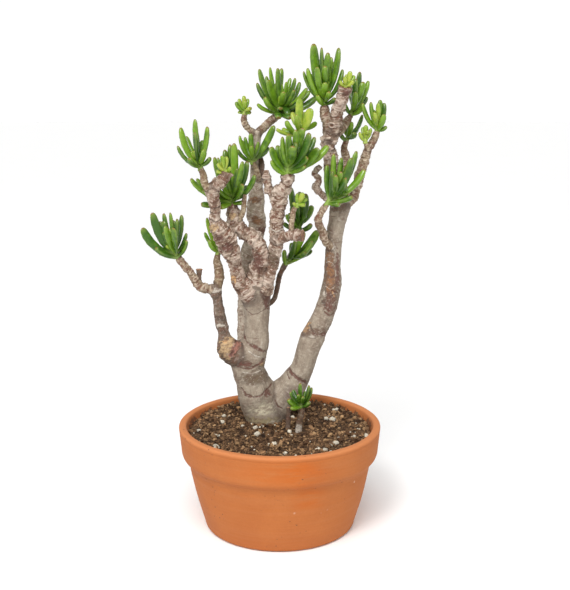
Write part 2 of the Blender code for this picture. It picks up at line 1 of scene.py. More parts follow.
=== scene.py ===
"""A finger-leaf jade plant in a clay bulb pan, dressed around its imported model.

Lengths in the tables are in millimetres: x and y from the middle of the pan, z over the soil. Every surface
here is worked out as whole arrays over a grid and then put into a mesh.
"""

import math

import bpy
import numpy as np
from bpy.props import FloatProperty, FloatVectorProperty, IntProperty, PointerProperty
from bpy.types import Operator, Panel, PropertyGroup
from bpy.utils import register_class, unregister_class
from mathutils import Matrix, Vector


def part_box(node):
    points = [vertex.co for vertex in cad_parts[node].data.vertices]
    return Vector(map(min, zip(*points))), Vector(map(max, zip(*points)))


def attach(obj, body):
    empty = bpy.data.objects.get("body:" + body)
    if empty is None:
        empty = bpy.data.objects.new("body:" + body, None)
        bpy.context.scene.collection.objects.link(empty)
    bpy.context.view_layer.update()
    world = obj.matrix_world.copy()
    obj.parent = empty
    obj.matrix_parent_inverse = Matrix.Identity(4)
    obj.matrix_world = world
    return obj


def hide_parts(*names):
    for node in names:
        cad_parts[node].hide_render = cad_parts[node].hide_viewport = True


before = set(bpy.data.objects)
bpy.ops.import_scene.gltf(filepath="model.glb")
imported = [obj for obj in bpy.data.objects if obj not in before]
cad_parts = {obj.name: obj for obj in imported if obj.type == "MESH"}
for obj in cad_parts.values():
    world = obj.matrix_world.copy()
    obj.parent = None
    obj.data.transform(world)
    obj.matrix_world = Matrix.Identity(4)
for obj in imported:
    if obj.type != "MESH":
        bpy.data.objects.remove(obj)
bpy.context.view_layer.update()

bl_info = {
    "name": "Potted Jade Plant",
    "version": (1, 0, 0),
    "blender": (4, 5, 0),
    "location": "View3D > Sidebar > Jade Plant",
    "description": "Grows a potted finger-leaf jade: clay pan, soil, barked stems and leaf tufts",
    "category": "Add Mesh",
}

MM = 0.001
PAN_LOW, PAN_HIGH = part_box("terracotta_pot")
SOIL_LOW, SOIL_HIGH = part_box("potting_soil")
AXIS_X = (PAN_LOW[0] + PAN_HIGH[0]) / 2
AXIS_Y = (PAN_LOW[1] + PAN_HIGH[1]) / 2
RIM_RADIUS = (PAN_HIGH[0] - PAN_LOW[0]) / 2
PAN_TOP = PAN_HIGH[2]
# The layout's level of soil: the bed's crown stands this much over it
SOIL_CROWN = 0.0016
SOIL_LEVEL = SOIL_HIGH[2] - SOIL_CROWN

# The clay pan's measures, in metres
WALL = 0.0078
FLOOR = 0.009
BAND_HEIGHT = 0.0362
BAND_TAPER = 0.0022
BAND_STEP = 0.0088
LIP = 0.0026
FOOT_RADIUS = 0.0795
FOOT_ROUND = 0.005
BODY_SWELL = 0.001
DRAIN_RADIUS = 0.0095
# The band's underside turns in by this radius and through this many degrees
UNDER_ROUND = 0.0095
UNDER_TURN = 62
# A crease runs round the band this far under the top, with this half width and depth
CREASE_DOWN, CREASE_WIDTH, CREASE_DEPTH = 0.0058, 0.0007, 0.00035
# The turning tool's rings: their waves in the height, how fast these fade one after another, and their depth
TOOL_WAVES, TOOL_FADE, TOOL_DEPTH = (900.0, 1700.0, 2900.0, 4300.0), 0.75, 0.00004

# The soil's bed: its gap to the wall, its rise toward the wall and toward the back, in metres
BED_GAP, SHORE_RISE, BACK_RISE = 0.0004, 0.0022, 0.0022

# The camera, measured from the pan's axis at the floor, in metres and degrees
EYE_ASIDE, EYE_BACK, EYE_HEIGHT, EYE_DOWN = 0.0055, 0.978, 0.449, 11.78

# The soft sun: its width, lean from overhead and turn to the left of the camera, in degrees
SUN_SPREAD, SUN_LEAN, SUN_TURN = 40.0, 36.0, -9.0

# The key light's place from the pan's axis at the floor, the height it faces and its width, in metres
KEY_PLACE, KEY_AIM, KEY_SIZE = (-0.42, -1.20, 1.45), 0.24, 0.5

# The even sky dims between these heights of its unit ball
SKY_EDGES = (0.22, 0.62)

# The pale floor: rings and steps of its disc, its first ring and reach, and how far under the pan it lies
FLOOR_RINGS, FLOOR_AROUND = 40, 96
FLOOR_NEAR, FLOOR_REACH, FLOOR_GAP = 0.02, 14.0, 0.0002

# Where stems rise from the soil: x, y and radius in mm
ROOTED = ((-18, 33, 21), (-4, 36, 15), (20, -9, 3), (9, -4, 2.5))

# Name, the stem that it grows from, and its centre line: x, y, height over the soil and radius, in mm
STEMS = (
    ("left_trunk", "", (
        (-16, 33, -15, 22.5), (-18, 33, 4, 21), (-23, 33, 19, 20), (-26, 32, 33, 19.5),
        (-29, 31, 44, 17.5), (-33, 31, 56, 16.5), (-33, 31, 67, 17), (-30, 31, 76, 16),
        (-26, 30, 86, 14), (-25, 30, 100, 13), (-24, 29, 122, 13.5), (-24, 29, 135, 14.5),
        (-24, 29, 145, 15), (-25, 29, 153, 12.5),)),
    ("right_trunk", "left_trunk", (
        (-11, 36, 8, 16.5), (-1, 36, 19, 16), (9, 35, 31, 16), (17, 34, 44, 14.5),
        (23, 33, 55, 12.5), (30, 32, 77, 12.5), (34, 31, 89, 13), (38, 30, 100, 12),
        (44, 30, 111, 11), (48, 30, 122, 10.5), (52, 29, 137, 10), (55, 28, 154, 9.5),
        (55, 28, 167, 8.5), (56, 28, 186, 8.5), (57, 28, 201, 8.5), (60, 28, 217, 9),
        (62, 28, 229, 9.5), (63, 28, 236, 8),)),
    ("back_stem", "left_trunk", (
        (-33, 36, 60, 8.5), (-36, 44, 78, 9), (-37, 49, 104, 9), (-36, 51, 133, 9),
        (-35, 52, 160, 8.5), (-32, 53, 182, 8.5), (-26, 54, 197, 8), (-24, 55, 209, 9),
        (-26, 55, 222, 9), (-25, 55, 236, 8.5), (-25, 55, 247, 7.5), (-25, 55, 257, 6.5),
        (-26, 55, 268, 5), (-26, 55, 282, 4.5), (-24, 55, 296, 4), (-24, 55, 306, 4.5),)),
    ("side_branch", "left_trunk", (
        (-42, 28, 72, 11.5), (-52, 25, 79, 13), (-57, 23, 89, 9.5), (-59, 22, 98, 6),
        (-61, 21, 108, 6.5), (-63, 20, 120, 6), (-65, 20, 135, 5), (-67, 20, 144, 6),
        (-68, 20, 149, 5.5),)),
    ("side_shoot", "side_branch", (
        (-66, 20, 145, 4), (-63, 21, 156, 4.5), (-63, 22, 166, 4.5), (-65, 23, 176, 3.5),
        (-64, 24, 183, 2.5),)),
    ("side_arm", "side_branch", (
        (-70, 19, 146, 4.5), (-76, 17, 147, 4.5), (-82, 15, 150, 4.5), (-87, 13, 157, 4),
        (-92, 11, 166, 3.5), (-97, 10, 172, 3.5), (-103, 9, 180, 3.5),)),
    ("side_stub", "side_arm", (
        (-83, 15, 153, 2), (-83, 15, 160, 2), (-83, 15, 164, 2.6), (-83, 15, 167, 3),)),
    ("front_branch", "left_trunk", (
        (-28, 25, 137, 10.5), (-35, 21, 146, 10.5), (-40, 18, 153, 9), (-44, 14, 166, 6.5),
        (-46, 10, 178, 6.5), (-49, 6, 187, 8.5), (-53, 3, 196, 9.5), (-56, 0, 205, 10),
        (-60, -3, 212, 9), (-64, -5, 222, 5.5), (-64, -7, 232, 5), (-65, -9, 242, 5.5),
        (-67, -10, 252, 6.5),)),
    ("front_twig", "front_branch", (
        (-68, -11, 252, 4), (-72, -13, 256, 3.5), (-74, -14, 262, 3.5), (-75, -15, 269, 3),
        (-77, -16, 273, 3),)),
    ("front_stub", "front_branch", (
        (-67, -10, 252, 5), (-62, -10, 257, 5.5), (-57, -10, 261, 5.5), (-53, -10, 266, 5.5),
        (-52, -10, 269, 6),)),
    ("middle_branch", "left_trunk", (
        (-24, 22, 152, 9), (-22, 17, 166, 9), (-18, 14, 178, 7.5), (-20, 13, 188, 7.5),
        (-23, 13, 196, 7), (-30, 14, 203, 7), (-40, 16, 209, 7.5), (-45, 18, 216, 7.5),
        (-47, 20, 225, 7), (-49, 21, 233, 5.5),)),
    ("middle_twig", "middle_branch", (
        (-42, 14, 218, 2.5), (-37, 12, 228, 2.5), (-36, 11, 237, 2.5), (-35, 11, 245, 2),)),
    ("centre_branch", "left_trunk", (
        (-16, 20, 144, 7.5), (-11, 15, 160, 6), (-7, 12, 173, 6), (-5, 10, 184, 6),
        (-3, 9, 194, 6.5), (-3, 8, 210, 6.5), (-3, 7, 220, 6.5), (-1, 6, 231, 6.5),
        (0, 5, 241, 7.5), (0, 4, 247, 8), (6, 2, 255, 5.5), (8, 0, 261, 6), (8, -1, 265, 6.5),)),
    ("centre_dry_twig", "centre_branch", (
        (-6, 5, 245, 4), (-10, 5, 251, 4), (-12, 5, 258, 3.5), (-13, 5, 265, 3.5),
        (-13, 5, 270, 2.5),)),
    ("centre_low_arm", "centre_branch", (
        (-3, 7, 200, 5.5), (5, 3, 203, 5), (16, -1, 206, 5.5), (20, -3, 206, 6), (23, -4, 206, 6),)),
    ("centre_thin_shoot", "centre_low_arm", (
        (13, 0, 208, 2.5), (12, 0, 213, 2.5), (13, 0, 223, 2.5), (14, 0, 230, 2.5),
        (17, 0, 235, 2),)),
    ("centre_back_shoot", "centre_branch", (
        (5, 8, 253, 3.5), (9, 14, 264, 3), (14, 17, 280, 3), (18, 18, 293, 2.5),
        (20, 18, 302, 2.5),)),
    ("hidden_twig", "left_trunk", (
        (-15, 34, 125, 2.5), (-7, 40, 130, 2.5), (-3, 44, 142, 2.5), (0, 47, 156, 2.5),
        (5, 49, 166, 2.5),)),
    ("hidden_shoot", "hidden_twig", (
        (4, 49, 164, 2.5), (11, 52, 176, 2.5), (17, 53, 190, 2.5), (20, 53, 201, 2.5),)),
    ("back_left_twig", "back_stem", (
        (-25, 55, 304, 3.5), (-30, 54, 307, 3), (-34, 53, 311, 3), (-37, 52, 318, 3),
        (-36, 52, 325, 2.5),)),
    ("back_right_twig", "back_stem", (
        (-23, 56, 304, 4), (-17, 57, 310, 4), (-11, 58, 316, 4), (-6, 58, 320, 4),
        (-2, 58, 322, 3),)),
    ("back_short_twig", "back_stem", (
        (-23, 49, 257, 3), (-23, 45, 262, 3), (-25, 43, 270, 2.5), (-28, 42, 275, 2.5),)),
    ("back_dead_stub", "back_stem", (
        (-22, 54, 257, 3), (-19, 54, 265, 2.5), (-19, 54, 274, 2.5), (-20, 54, 281, 2),)),
    ("right_limb", "right_trunk", (
        (65, 28, 232, 5.5), (70, 29, 235, 5), (76, 30, 241, 4.5), (78, 30, 249, 4.5),
        (81, 30, 258, 4.5), (84, 30, 269, 4.5), (87, 30, 279, 4.5), (90, 30, 289, 4),
        (96, 30, 299, 3.5), (99, 30, 307, 3),)),
    ("right_limb_twig", "right_limb", (
        (90, 28, 288, 2.5), (89, 27, 292, 2.5), (87, 26, 297, 2),)),
    ("upper_trunk", "right_trunk", (
        (63, 28, 232, 7.5), (60, 28, 242, 7), (57, 28, 257, 7), (53, 28, 272, 7),
        (51, 28, 284, 6.5), (50, 28, 294, 6.5), (52, 28, 304, 7.5), (53, 28, 310, 7),)),
    ("top_arm", "upper_trunk", (
        (51, 27, 308, 5.5), (48, 26, 317, 5), (46, 26, 325, 5), (45, 26, 332, 4.5),)),
    ("top_stub", "upper_trunk", (
        (55, 26, 308, 6), (57, 22, 319, 6), (58, 19, 329, 5.5), (62, 17, 339, 5.5),
        (64, 16, 346, 6), (65, 15, 351, 6.5),)),
    ("top_right_arm", "upper_trunk", (
        (58, 32, 305, 4), (64, 36, 310, 3.5), (69, 42, 317, 3.5), (73, 46, 323, 3),)),
    ("inner_stem", "upper_trunk", (
        (61, 36, 257, 4), (65, 42, 264, 3.5), (68, 46, 273, 3.5), (69, 48, 281, 3.5),
        (67, 49, 289, 3), (69, 50, 297, 3),)),
    ("gnarled_twig", "upper_trunk", (
        (57, 22, 241, 3.5), (48, 16, 241, 3), (42, 14, 246, 3), (37, 13, 253, 3),
        (40, 13, 260, 2.5), (36, 13, 267, 2.5), (41, 13, 274, 2.5),)),
    ("right_front_stem", "right_trunk", (
        (53, 22, 190, 4), (47, 15, 197, 3.5), (43, 9, 209, 3.5), (39, 5, 219, 3.5),
        (42, 3, 228, 3), (47, 1, 236, 3),)),
    ("young_stem", "", (
        (19, -9, -9, 3), (20, -9, 8, 3), (22, -9, 19, 3), (23, -9, 26, 3),)),
    ("dead_stub", "", (
        (8, -4, -7, 2.5), (9, -4, 14, 2.5), (9, -4, 25, 2),)),
)

TUFTS = (
    ("back_left_leaves", "back_left_twig", (-36, 52, 330), (
        (-43, 54, 327, 4), (-30, 47, 326, 4), (-45, 50, 337, 4.5), (-42, 56, 340, 4.5),
        (-35, 45, 338, 4.5), (-30, 44, 331, 4.5), (-33, 58, 340, 4), (-37, 55, 343, 4),)),
    ("back_right_leaves", "back_right_twig", (0, 58, 335), (
        (38, 64, 342, 6.5), (22, 44, 323, 6), (11, 38, 321, 6), (-23, 52, 335, 5),
        (31, 68, 348, 6.5), (-15, 44, 342, 6.5), (-1, 36, 321, 6), (28, 54, 351, 6.5),
        (21, 72, 357, 5), (-21, 60, 370, 6.5), (-23, 48, 356, 5.5), (15, 40, 349, 5),
        (-14, 74, 363, 5), (-11, 46, 359, 9), (-10, 68, 372, 4.5), (-2, 64, 371, 5.5),
        (4, 36, 347, 7), (16, 58, 361, 4.5), (7, 44, 357, 4.5), (2, 74, 371, 6),
        (11, 70, 361, 4.5), (-6, 82, 355, 6), (9, 84, 353, 6),)),
    ("back_short_leaves", "back_short_twig", (-28, 41, 282), (
        (-43, 36, 289, 4.5), (-6, 48, 313, 7), (-39, 46, 298, 4.5), (-41, 38, 303, 4.5),
        (-29, 32, 293, 4.5), (-12, 50, 291, 4.5), (-36, 49, 301, 4.5), (-22, 35, 297, 5),
        (-30, 45, 305, 5), (-19, 55, 287, 5), (-34, 55, 287, 5),)),
    ("side_shoot_leaves", "side_shoot", (-64, 24, 191), (
        (-56, 30, 198, 5), (-72, 18, 198, 6), (-78, 32, 204, 4), (-75, 26, 220, 5),
        (-67, 34, 214, 5.5), (-59, 38, 210, 5), (-62, 16, 207, 6),)),
    ("side_arm_leaves", "side_arm", (-108, 8, 190), (
        (-125, 1, 193, 6), (-139, 7, 212, 7.5), (-94, 3, 200, 5), (-99, 17, 191, 5),
        (-129, 12, 227, 8), (-105, -15, 215, 8), (-123, 21, 217, 5), (-114, -8, 216, 5.5),
        (-95, 12, 206, 5), (-118, 14, 226, 5), (-103, 0, 222, 5.5), (-111, 12, 227, 5),
        (-100, 16, 224, 6), (-120, 30, 205, 5.5), (-103, 28, 209, 5.5),)),
    ("front_twig_leaves", "front_twig", (-79, -16, 283), (
        (-98, -24, 296, 5), (-86, -36, 285, 5.5), (-96, -12, 313, 6), (-67, -24, 285, 5),
        (-81, -30, 309, 7), (-72, -32, 293, 5), (-70, -14, 314, 6), (-82, -12, 321, 6),
        (-82, -4, 311, 5), (-92, 0, 304, 5), (-76, 2, 300, 5.5),)),
    ("front_stub_leaves", "front_stub", (-55, -12, 274), (
        (-62, -12, 271, 4), (-48, -12, 275, 4), (-60, -15, 279, 4), (-52, -11, 285, 4.5),
        (-56, -15, 286, 4.5), (-58, -7, 279, 4),)),
    ("middle_leaves", "middle_branch", (-48, 20, 246), (
        (-79, 7, 236, 6), (-59, -1, 234, 6), (-37, 11, 238, 5), (-90, 19, 261, 6),
        (-76, 1, 251, 6), (-85, 29, 260, 5), (-37, -1, 257, 7.5), (-25, 17, 265, 6.5),
        (-33, 29, 253, 6), (-66, 25, 282, 5.5), (-63, 32, 281, 5.5), (-37, 6, 279, 6),
        (-33, 22, 278, 6), (-42, 6, 272, 6), (-56, 32, 289, 6), (-51, 38, 294, 5.5),
        (-46, 24, 296, 6.5), (-52, 8, 270, 7), (-61, 42, 264, 6), (-43, 44, 261, 6),)),
    ("centre_leaves", "centre_branch", (10, -3, 278), (
        (-8, -9, 281, 5), (-8, -4, 294, 7), (38, -3, 293, 8.5), (25, -21, 277, 7),
        (48, 4, 295, 6.5), (-2, 6, 295, 5), (35, 8, 303, 5), (27, -24, 285, 7.5),
        (29, -16, 308, 7), (3, -10, 304, 6), (23, 2, 312, 8), (9, -18, 307, 7.5),
        (16, -11, 311, 6), (13, -27, 296, 6.5), (3, 15, 290, 6), (21, 19, 292, 6),)),
    ("centre_top_leaves", "centre_back_shoot", (21, 18, 312), (
        (-3, 12, 311, 4.5), (7, 10, 319, 6), (3, 26, 311, 5), (31, 14, 331, 9), (17, 8, 325, 5),
        (20, 18, 341, 8), (37, 32, 317, 5), (13, 32, 327, 5), (26, 34, 327, 5),)),
    ("thin_shoot_leaves", "centre_thin_shoot", (19, 0, 240), (
        (14, -3, 239, 4), (26, -3, 237, 4.5), (18, -1, 248, 4.5), (27, 1, 243, 4.5),
        (23, -4, 249, 4.5), (21, 5, 244, 4),)),
    ("hidden_high_leaves", "hidden_shoot", (22, 53, 214), (
        (33, 45, 211, 6.5), (4, 47, 212, 5.5), (7, 55, 220, 5.5), (27, 43, 243, 7),
        (10, 41, 223, 5), (12, 55, 248, 6.5), (19, 39, 239, 6), (34, 59, 229, 6),
        (21, 63, 243, 6.5), (13, 67, 227, 6), (29, 71, 218, 6),)),
    ("hidden_low_leaves", "hidden_twig", (12, 48, 176), (
        (5, 41, 184, 5.5), (40, 47, 204, 8), (34, 39, 194, 6.5), (25, 35, 204, 8.5),
        (17, 32, 196, 6.5), (34, 54, 182, 6), (21, 60, 196, 6.5), (27, 32, 183, 5.5),
        (13, 58, 189, 6),)),
    ("top_leaves", "top_arm", (46, 26, 349), (
        (38, 18, 344, 5.5), (55, 14, 341, 5), (24, 22, 367, 5), (28, 16, 370, 6), (49, 6, 347, 5),
        (63, 26, 369, 5), (37, 8, 371, 6), (34, 29, 394, 9), (45, 6, 356, 6), (59, 28, 390, 6.5),
        (42, 22, 390, 5.5), (48, 18, 385, 5.5), (52, 32, 381, 5), (41, 42, 379, 5.5),
        (54, 44, 377, 5.5), (31, 46, 365, 5.5), (45, 12, 372, 6),)),
    ("top_stub_leaves", "top_stub", (66, 14, 356), (
        (60, 12, 358, 4), (73, 13, 358, 4.5), (65, 11, 362, 4.5), (70, 14, 367, 4.5),
        (74, 16, 363, 4.5), (67, 20, 364, 4),)),
    ("top_right_leaves", "top_right_arm", (76, 46, 333), (
        (85, 34, 334, 7.5), (67, 42, 335, 5), (90, 52, 342, 5.5), (77, 32, 347, 6),
        (91, 50, 358, 5), (82, 48, 367, 6.5), (77, 36, 360, 6), (85, 40, 357, 6.5),
        (73, 58, 353, 5.5), (86, 64, 349, 5.5),)),
    ("inner_leaves", "inner_stem", (72, 50, 304), (
        (63, 44, 305, 5), (85, 46, 324, 5), (77, 36, 306, 5.5), (74, 42, 317, 5.5),
        (67, 54, 316, 5), (81, 60, 310, 5), (73, 60, 322, 5),)),
    ("right_limb_leaves", "right_limb", (100, 30, 315), (
        (108, 26, 313, 4.5), (105, 20, 325, 5), (84, 30, 336, 5), (92, 26, 337, 5),
        (106, 32, 336, 5.5), (99, 22, 336, 5.5), (102, 33, 339, 5.5), (95, 18, 327, 5),
        (96, 42, 329, 5), (106, 44, 331, 5),)),
    ("right_twig_leaves", "right_limb_twig", (87, 26, 305), (
        (81, 24, 307, 4.5), (92, 24, 311, 4.5), (87, 23, 314, 4.5), (85, 31, 312, 4),
        (91, 32, 307, 4), (89, 19, 309, 4),)),
    ("right_front_leaves", "right_front_stem", (58, 0, 253), (
        (60, -7, 238, 5.5), (72, -13, 246, 6), (85, 5, 271, 6.5), (48, 7, 276, 6.5),
        (52, -15, 271, 6), (77, 9, 289, 5.5), (65, -23, 265, 7), (54, 2, 287, 6),
        (55, -24, 268, 6), (72, 2, 283, 6.5), (62, 6, 283, 6), (60, -22, 271, 6), (69, 18, 274, 6),
        (54, 20, 271, 6),)),
    ("young_leaves", "young_stem", (22, -10, 34), (
        (9, -15, 38, 6.5), (12, -21, 30, 5.5), (30, -19, 36, 6), (33, -11, 49, 5),
        (11, -12, 45, 5), (30, -16, 53, 5.5), (21, -12, 54, 5), (19, -18, 44, 4.5),
        (24, -19, 42, 4.5), (14, -2, 44, 5), (27, -1, 42, 5),)),
)

# How each stem is dressed: look, gap between its leaf rings, length left plain from its start, and cut end
STEM_DRESS = {
    "left_trunk": ("trunk", 26, 20, "round"),
    "right_trunk": ("trunk", 14, 120, "round"),
    "back_stem": ("painted_lit_back", 12, 110, "round"),
    "side_branch": ("grey", 9, 34, "round"),
    "side_shoot": ("twig", 5.5, 0, "round"),
    "side_arm": ("branch", 5, 0, "round"),
    "side_stub": ("dry", 4, 0, "mushroom"),
    "front_branch": ("knobbly", 6.5, 4, "round"),
    "front_twig": ("twig", 4, 0, "round"),
    "front_stub": ("knobbly", 4.5, 0, "cut"),
    "middle_branch": ("knobbly", 7, 0, "round"),
    "middle_twig": ("twig", 5, 0, "cut"),
    "centre_branch": ("knobbly", 8, 0, "round"),
    "centre_dry_twig": ("knobbly", 4.5, 0, "cut"),
    "centre_low_arm": ("knobbly", 5, 0, "cut"),
    "centre_thin_shoot": ("twig", 5, 0, "round"),
    "centre_back_shoot": ("twig", 6, 0, "round"),
    "hidden_twig": ("dry", 6, 0, "round"),
    "hidden_shoot": ("twig", 6, 0, "round"),
    "back_left_twig": ("branch", 4.5, 0, "round"),
    "back_right_twig": ("branch", 4.5, 0, "round"),
    "back_short_twig": ("twig", 5, 0, "round"),
    "back_dead_stub": ("dry", 5, 0, "cut"),
    "right_limb": ("branch", 6, 0, "round"),
    "right_limb_twig": ("twig", 4, 0, "round"),
    "upper_trunk": ("knobbly", 8, 0, "round"),
    "top_arm": ("branch", 5, 0, "round"),
    "top_stub": ("knobbly", 5.5, 0, "cut"),
    "top_right_arm": ("branch", 5, 0, "round"),
    "inner_stem": ("branch", 6, 0, "round"),
    "gnarled_twig": ("knobbly", 5, 0, "cut"),
    "right_front_stem": ("branch", 6, 0, "round"),
    "young_stem": ("young", 7, 0, "round"),
    "dead_stub": ("dry", 7, 0, "cut"),
}

# Each look: pale and dark bark, share of rust, share of flakes, then ring depth, scar height and lumps in mm
LOOKS = {
    "trunk": ((0.350, 0.293, 0.224), (0.245, 0.192, 0.144), 0.06, 0.16, 0.18, 0.18, 0.25),
    # painted_lit_back: the trunk's bark made paler, painted light for the back stem, which lies in the
    # branches' shade
    "painted_lit_back": ((0.47, 0.395, 0.315), (0.34, 0.275, 0.205), 0.25, 0.35, 0.30, 0.35, 0.42),
    "grey": ((0.190, 0.142, 0.104), (0.095, 0.064, 0.046), 0.35, 0.25, 0.25, 0.40, 0.30),
    "branch": ((0.34, 0.260, 0.172), (0.150, 0.093, 0.053), 0.58, 0.44, 0.40, 0.80, 0.50),
    "knobbly": ((0.37, 0.285, 0.215), (0.160, 0.095, 0.062), 0.62, 0.50, 0.52, 1.30, 0.92),
    "twig": ((0.33, 0.250, 0.150), (0.16, 0.107, 0.060), 0.40, 0.38, 0.32, 0.40, 0.22),
    "dry": ((0.16, 0.105, 0.07), (0.07, 0.042, 0.028), 0.35, 0.12, 0.30, 0.30, 0.35),
    "young": ((0.18, 0.120, 0.070), (0.095, 0.060, 0.036), 0.30, 0.10, 0.25, 0.25, 0.15),
}

# A finish name listed for each stem; the others get "bark"
STEM_SLOTS = {
    "left_trunk": "old_bark", "right_trunk": "old_bark", "back_stem": "old_bark",
    "dead_stub": "dry_wood", "back_dead_stub": "dry_wood", "centre_dry_twig": "dry_wood",
    "young_stem": "green_stem",
}

# Each kind of mark on the bark: its colour, its relief in mm and how softly its edge fades, from 0 to 1
MARK_KINDS = {
    "tan": ((0.50, 0.34, 0.18), 1.0, 0.2),
    "red": ((0.130, 0.052, 0.040), -0.40, 0.3),
    "flesh": ((0.34, 0.150, 0.110), 0.1, 0.25),
    "raw": ((0.56, 0.33, 0.155), -0.5, 0.2),
    "dark": ((0.085, 0.058, 0.045), 0.3, 0.35),
    "brown": ((0.130, 0.090, 0.054), -0.15, 0.6),
    "rust": ((0.245, 0.106, 0.040), -0.25, 0.45),
    "moss": ((0.27, 0.215, 0.115), 0.0, 0.6),
    "cream": ((0.56, 0.50, 0.36), 0.1, 0.8),
    "scab": ((0.150, 0.094, 0.064), 0.0, 0.6),
    "pale": ((0.56, 0.50, 0.42), 0.35, 0.3),
    "pink": ((0.37, 0.285, 0.240), 0.15, 0.7),
}

# Patches on the bark: stem, x, z, half width, half height, lean in degrees and kind
PATCHES = (
    ("side_branch", -55, 84, 8.4, 13.1, -18, "tan"),
    ("side_branch", -47, 84, 3.7, 9.4, -32, "flesh"),
    ("side_branch", -50, 80, 1.6, 3.6, -25, "red"),
    ("side_branch", -46, 91, 1.5, 2.4, -20, "red"),
    ("side_branch", -57, 92, 3.2, 1.5, 20, "raw"),
    ("side_branch", -60, 77, 1.6, 3.0, -10, "brown"),
    ("front_branch", -65, 215, 4.6, 4.0, 0, "tan"),
    ("front_branch", -47, 159, 2.6, 4.1, 10, "raw"),
    ("middle_branch", -48, 223, 3.6, 3.6, 0, "tan"),
    ("right_trunk", 26, 102, 6.8, 4.2, 38, "raw"),
    ("right_trunk", 24, 97, 4.2, 2.6, 10, "dark"),
    ("right_trunk", 53, 156, 9.5, 38, 3, "scab"),
    ("right_trunk", 38, 100, 12, 4.5, 8, "scab"),
    ("right_trunk", 46, 97, 3, 2.4, 0, "red"),
    ("right_trunk", 34, 96, 2.6, 1.6, 0, "pale"),
    ("right_trunk", 60, 231, 9, 4.5, 0, "scab"),
    ("right_trunk", 52, 160, 4.6, 29, 3, "rust"),
    ("right_trunk", 46, 132, 2.2, 3.4, 20, "dark"),
    ("right_trunk", 47, 141, 2.0, 3.0, 0, "pale"),
    ("right_trunk", 51, 128, 5.2, 6.3, 0, "red"),
    ("right_trunk", 60, 164, 2.1, 22.8, 2, "red"),
    ("right_trunk", 54, 190, 3.1, 4.1, 0, "pale"),
    ("left_trunk", -14, 134, 3.6, 9.3, 12, "red"),
    ("left_trunk", -18, 146, 3.1, 4.1, 0, "red"),
    ("left_trunk", -30, 140, 5.2, 5.2, 0, "dark"),
    ("left_trunk", -1, 22, 3.4, 4.8, -30, "red"),
    ("left_trunk", -14, 34, 3.4, 4.2, 20, "red"),
    ("left_trunk", -33, 32, 5.3, 1.7, -8, "red"),
    ("left_trunk", -36, 67, 8.4, 3.2, -10, "red"),
    ("left_trunk", -41, 75, 5.2, 5.2, 0, "dark"),
    ("left_trunk", -23, 83, 9.4, 2.1, -30, "red"),
    ("left_trunk", -27, 51, 14.5, 6.2, 0, "brown"),
    ("left_trunk", -20, 66, 3.2, 3.2, 0, "tan"),
    ("right_trunk", 19, 50, 11.7, 2.3, -33, "red"),
    ("right_trunk", 13, 31, 7.5, 7.5, 0, "pink"),
    ("left_trunk", -20, 17, 13, 8, 8, "cream"),
    ("left_trunk", -22, 4, 18, 6, 0, "moss"),
    ("young_stem", 20, 3, 5, 7, 0, "pale"),
    ("right_trunk", 54, 140, 4.5, 5, 0, "red"),
    ("back_stem", -19, 204, 5.3, 4.2, 0, "red"),
    ("back_stem", -24, 214, 8.5, 4.2, -32, "rust"),
    ("back_stem", -26, 236, 6.0, 4.0, 0, "rust"),
    ("back_stem", -33, 98, 3.5, 4.0, 0, "red"),
    ("back_stem", -33, 118, 3.5, 6.0, 0, "rust"),
    ("centre_branch", -7, 182, 5.1, 8.1, 0, "brown"),
    ("centre_branch", 1, 262, 3.0, 3.0, 0, "red"),
    ("top_stub", 66, 347, 3.9, 3.9, 0, "red"),
    ("upper_trunk", 50, 298, 4.0, 3.0, 0, "dark"),
    ("upper_trunk", 54, 317, 4.0, 3.0, 0, "red"),
    ("side_branch", -66, 146, 5.2, 2.6, 0, "pale"),
    ("front_branch", -52, 194, 6.0, 4.0, 20, "red"),
    ("front_branch", -59, 204, 4.0, 3.0, 0, "red"),
    ("middle_branch", -22, 177, 5.1, 9.2, 0, "red"),
)

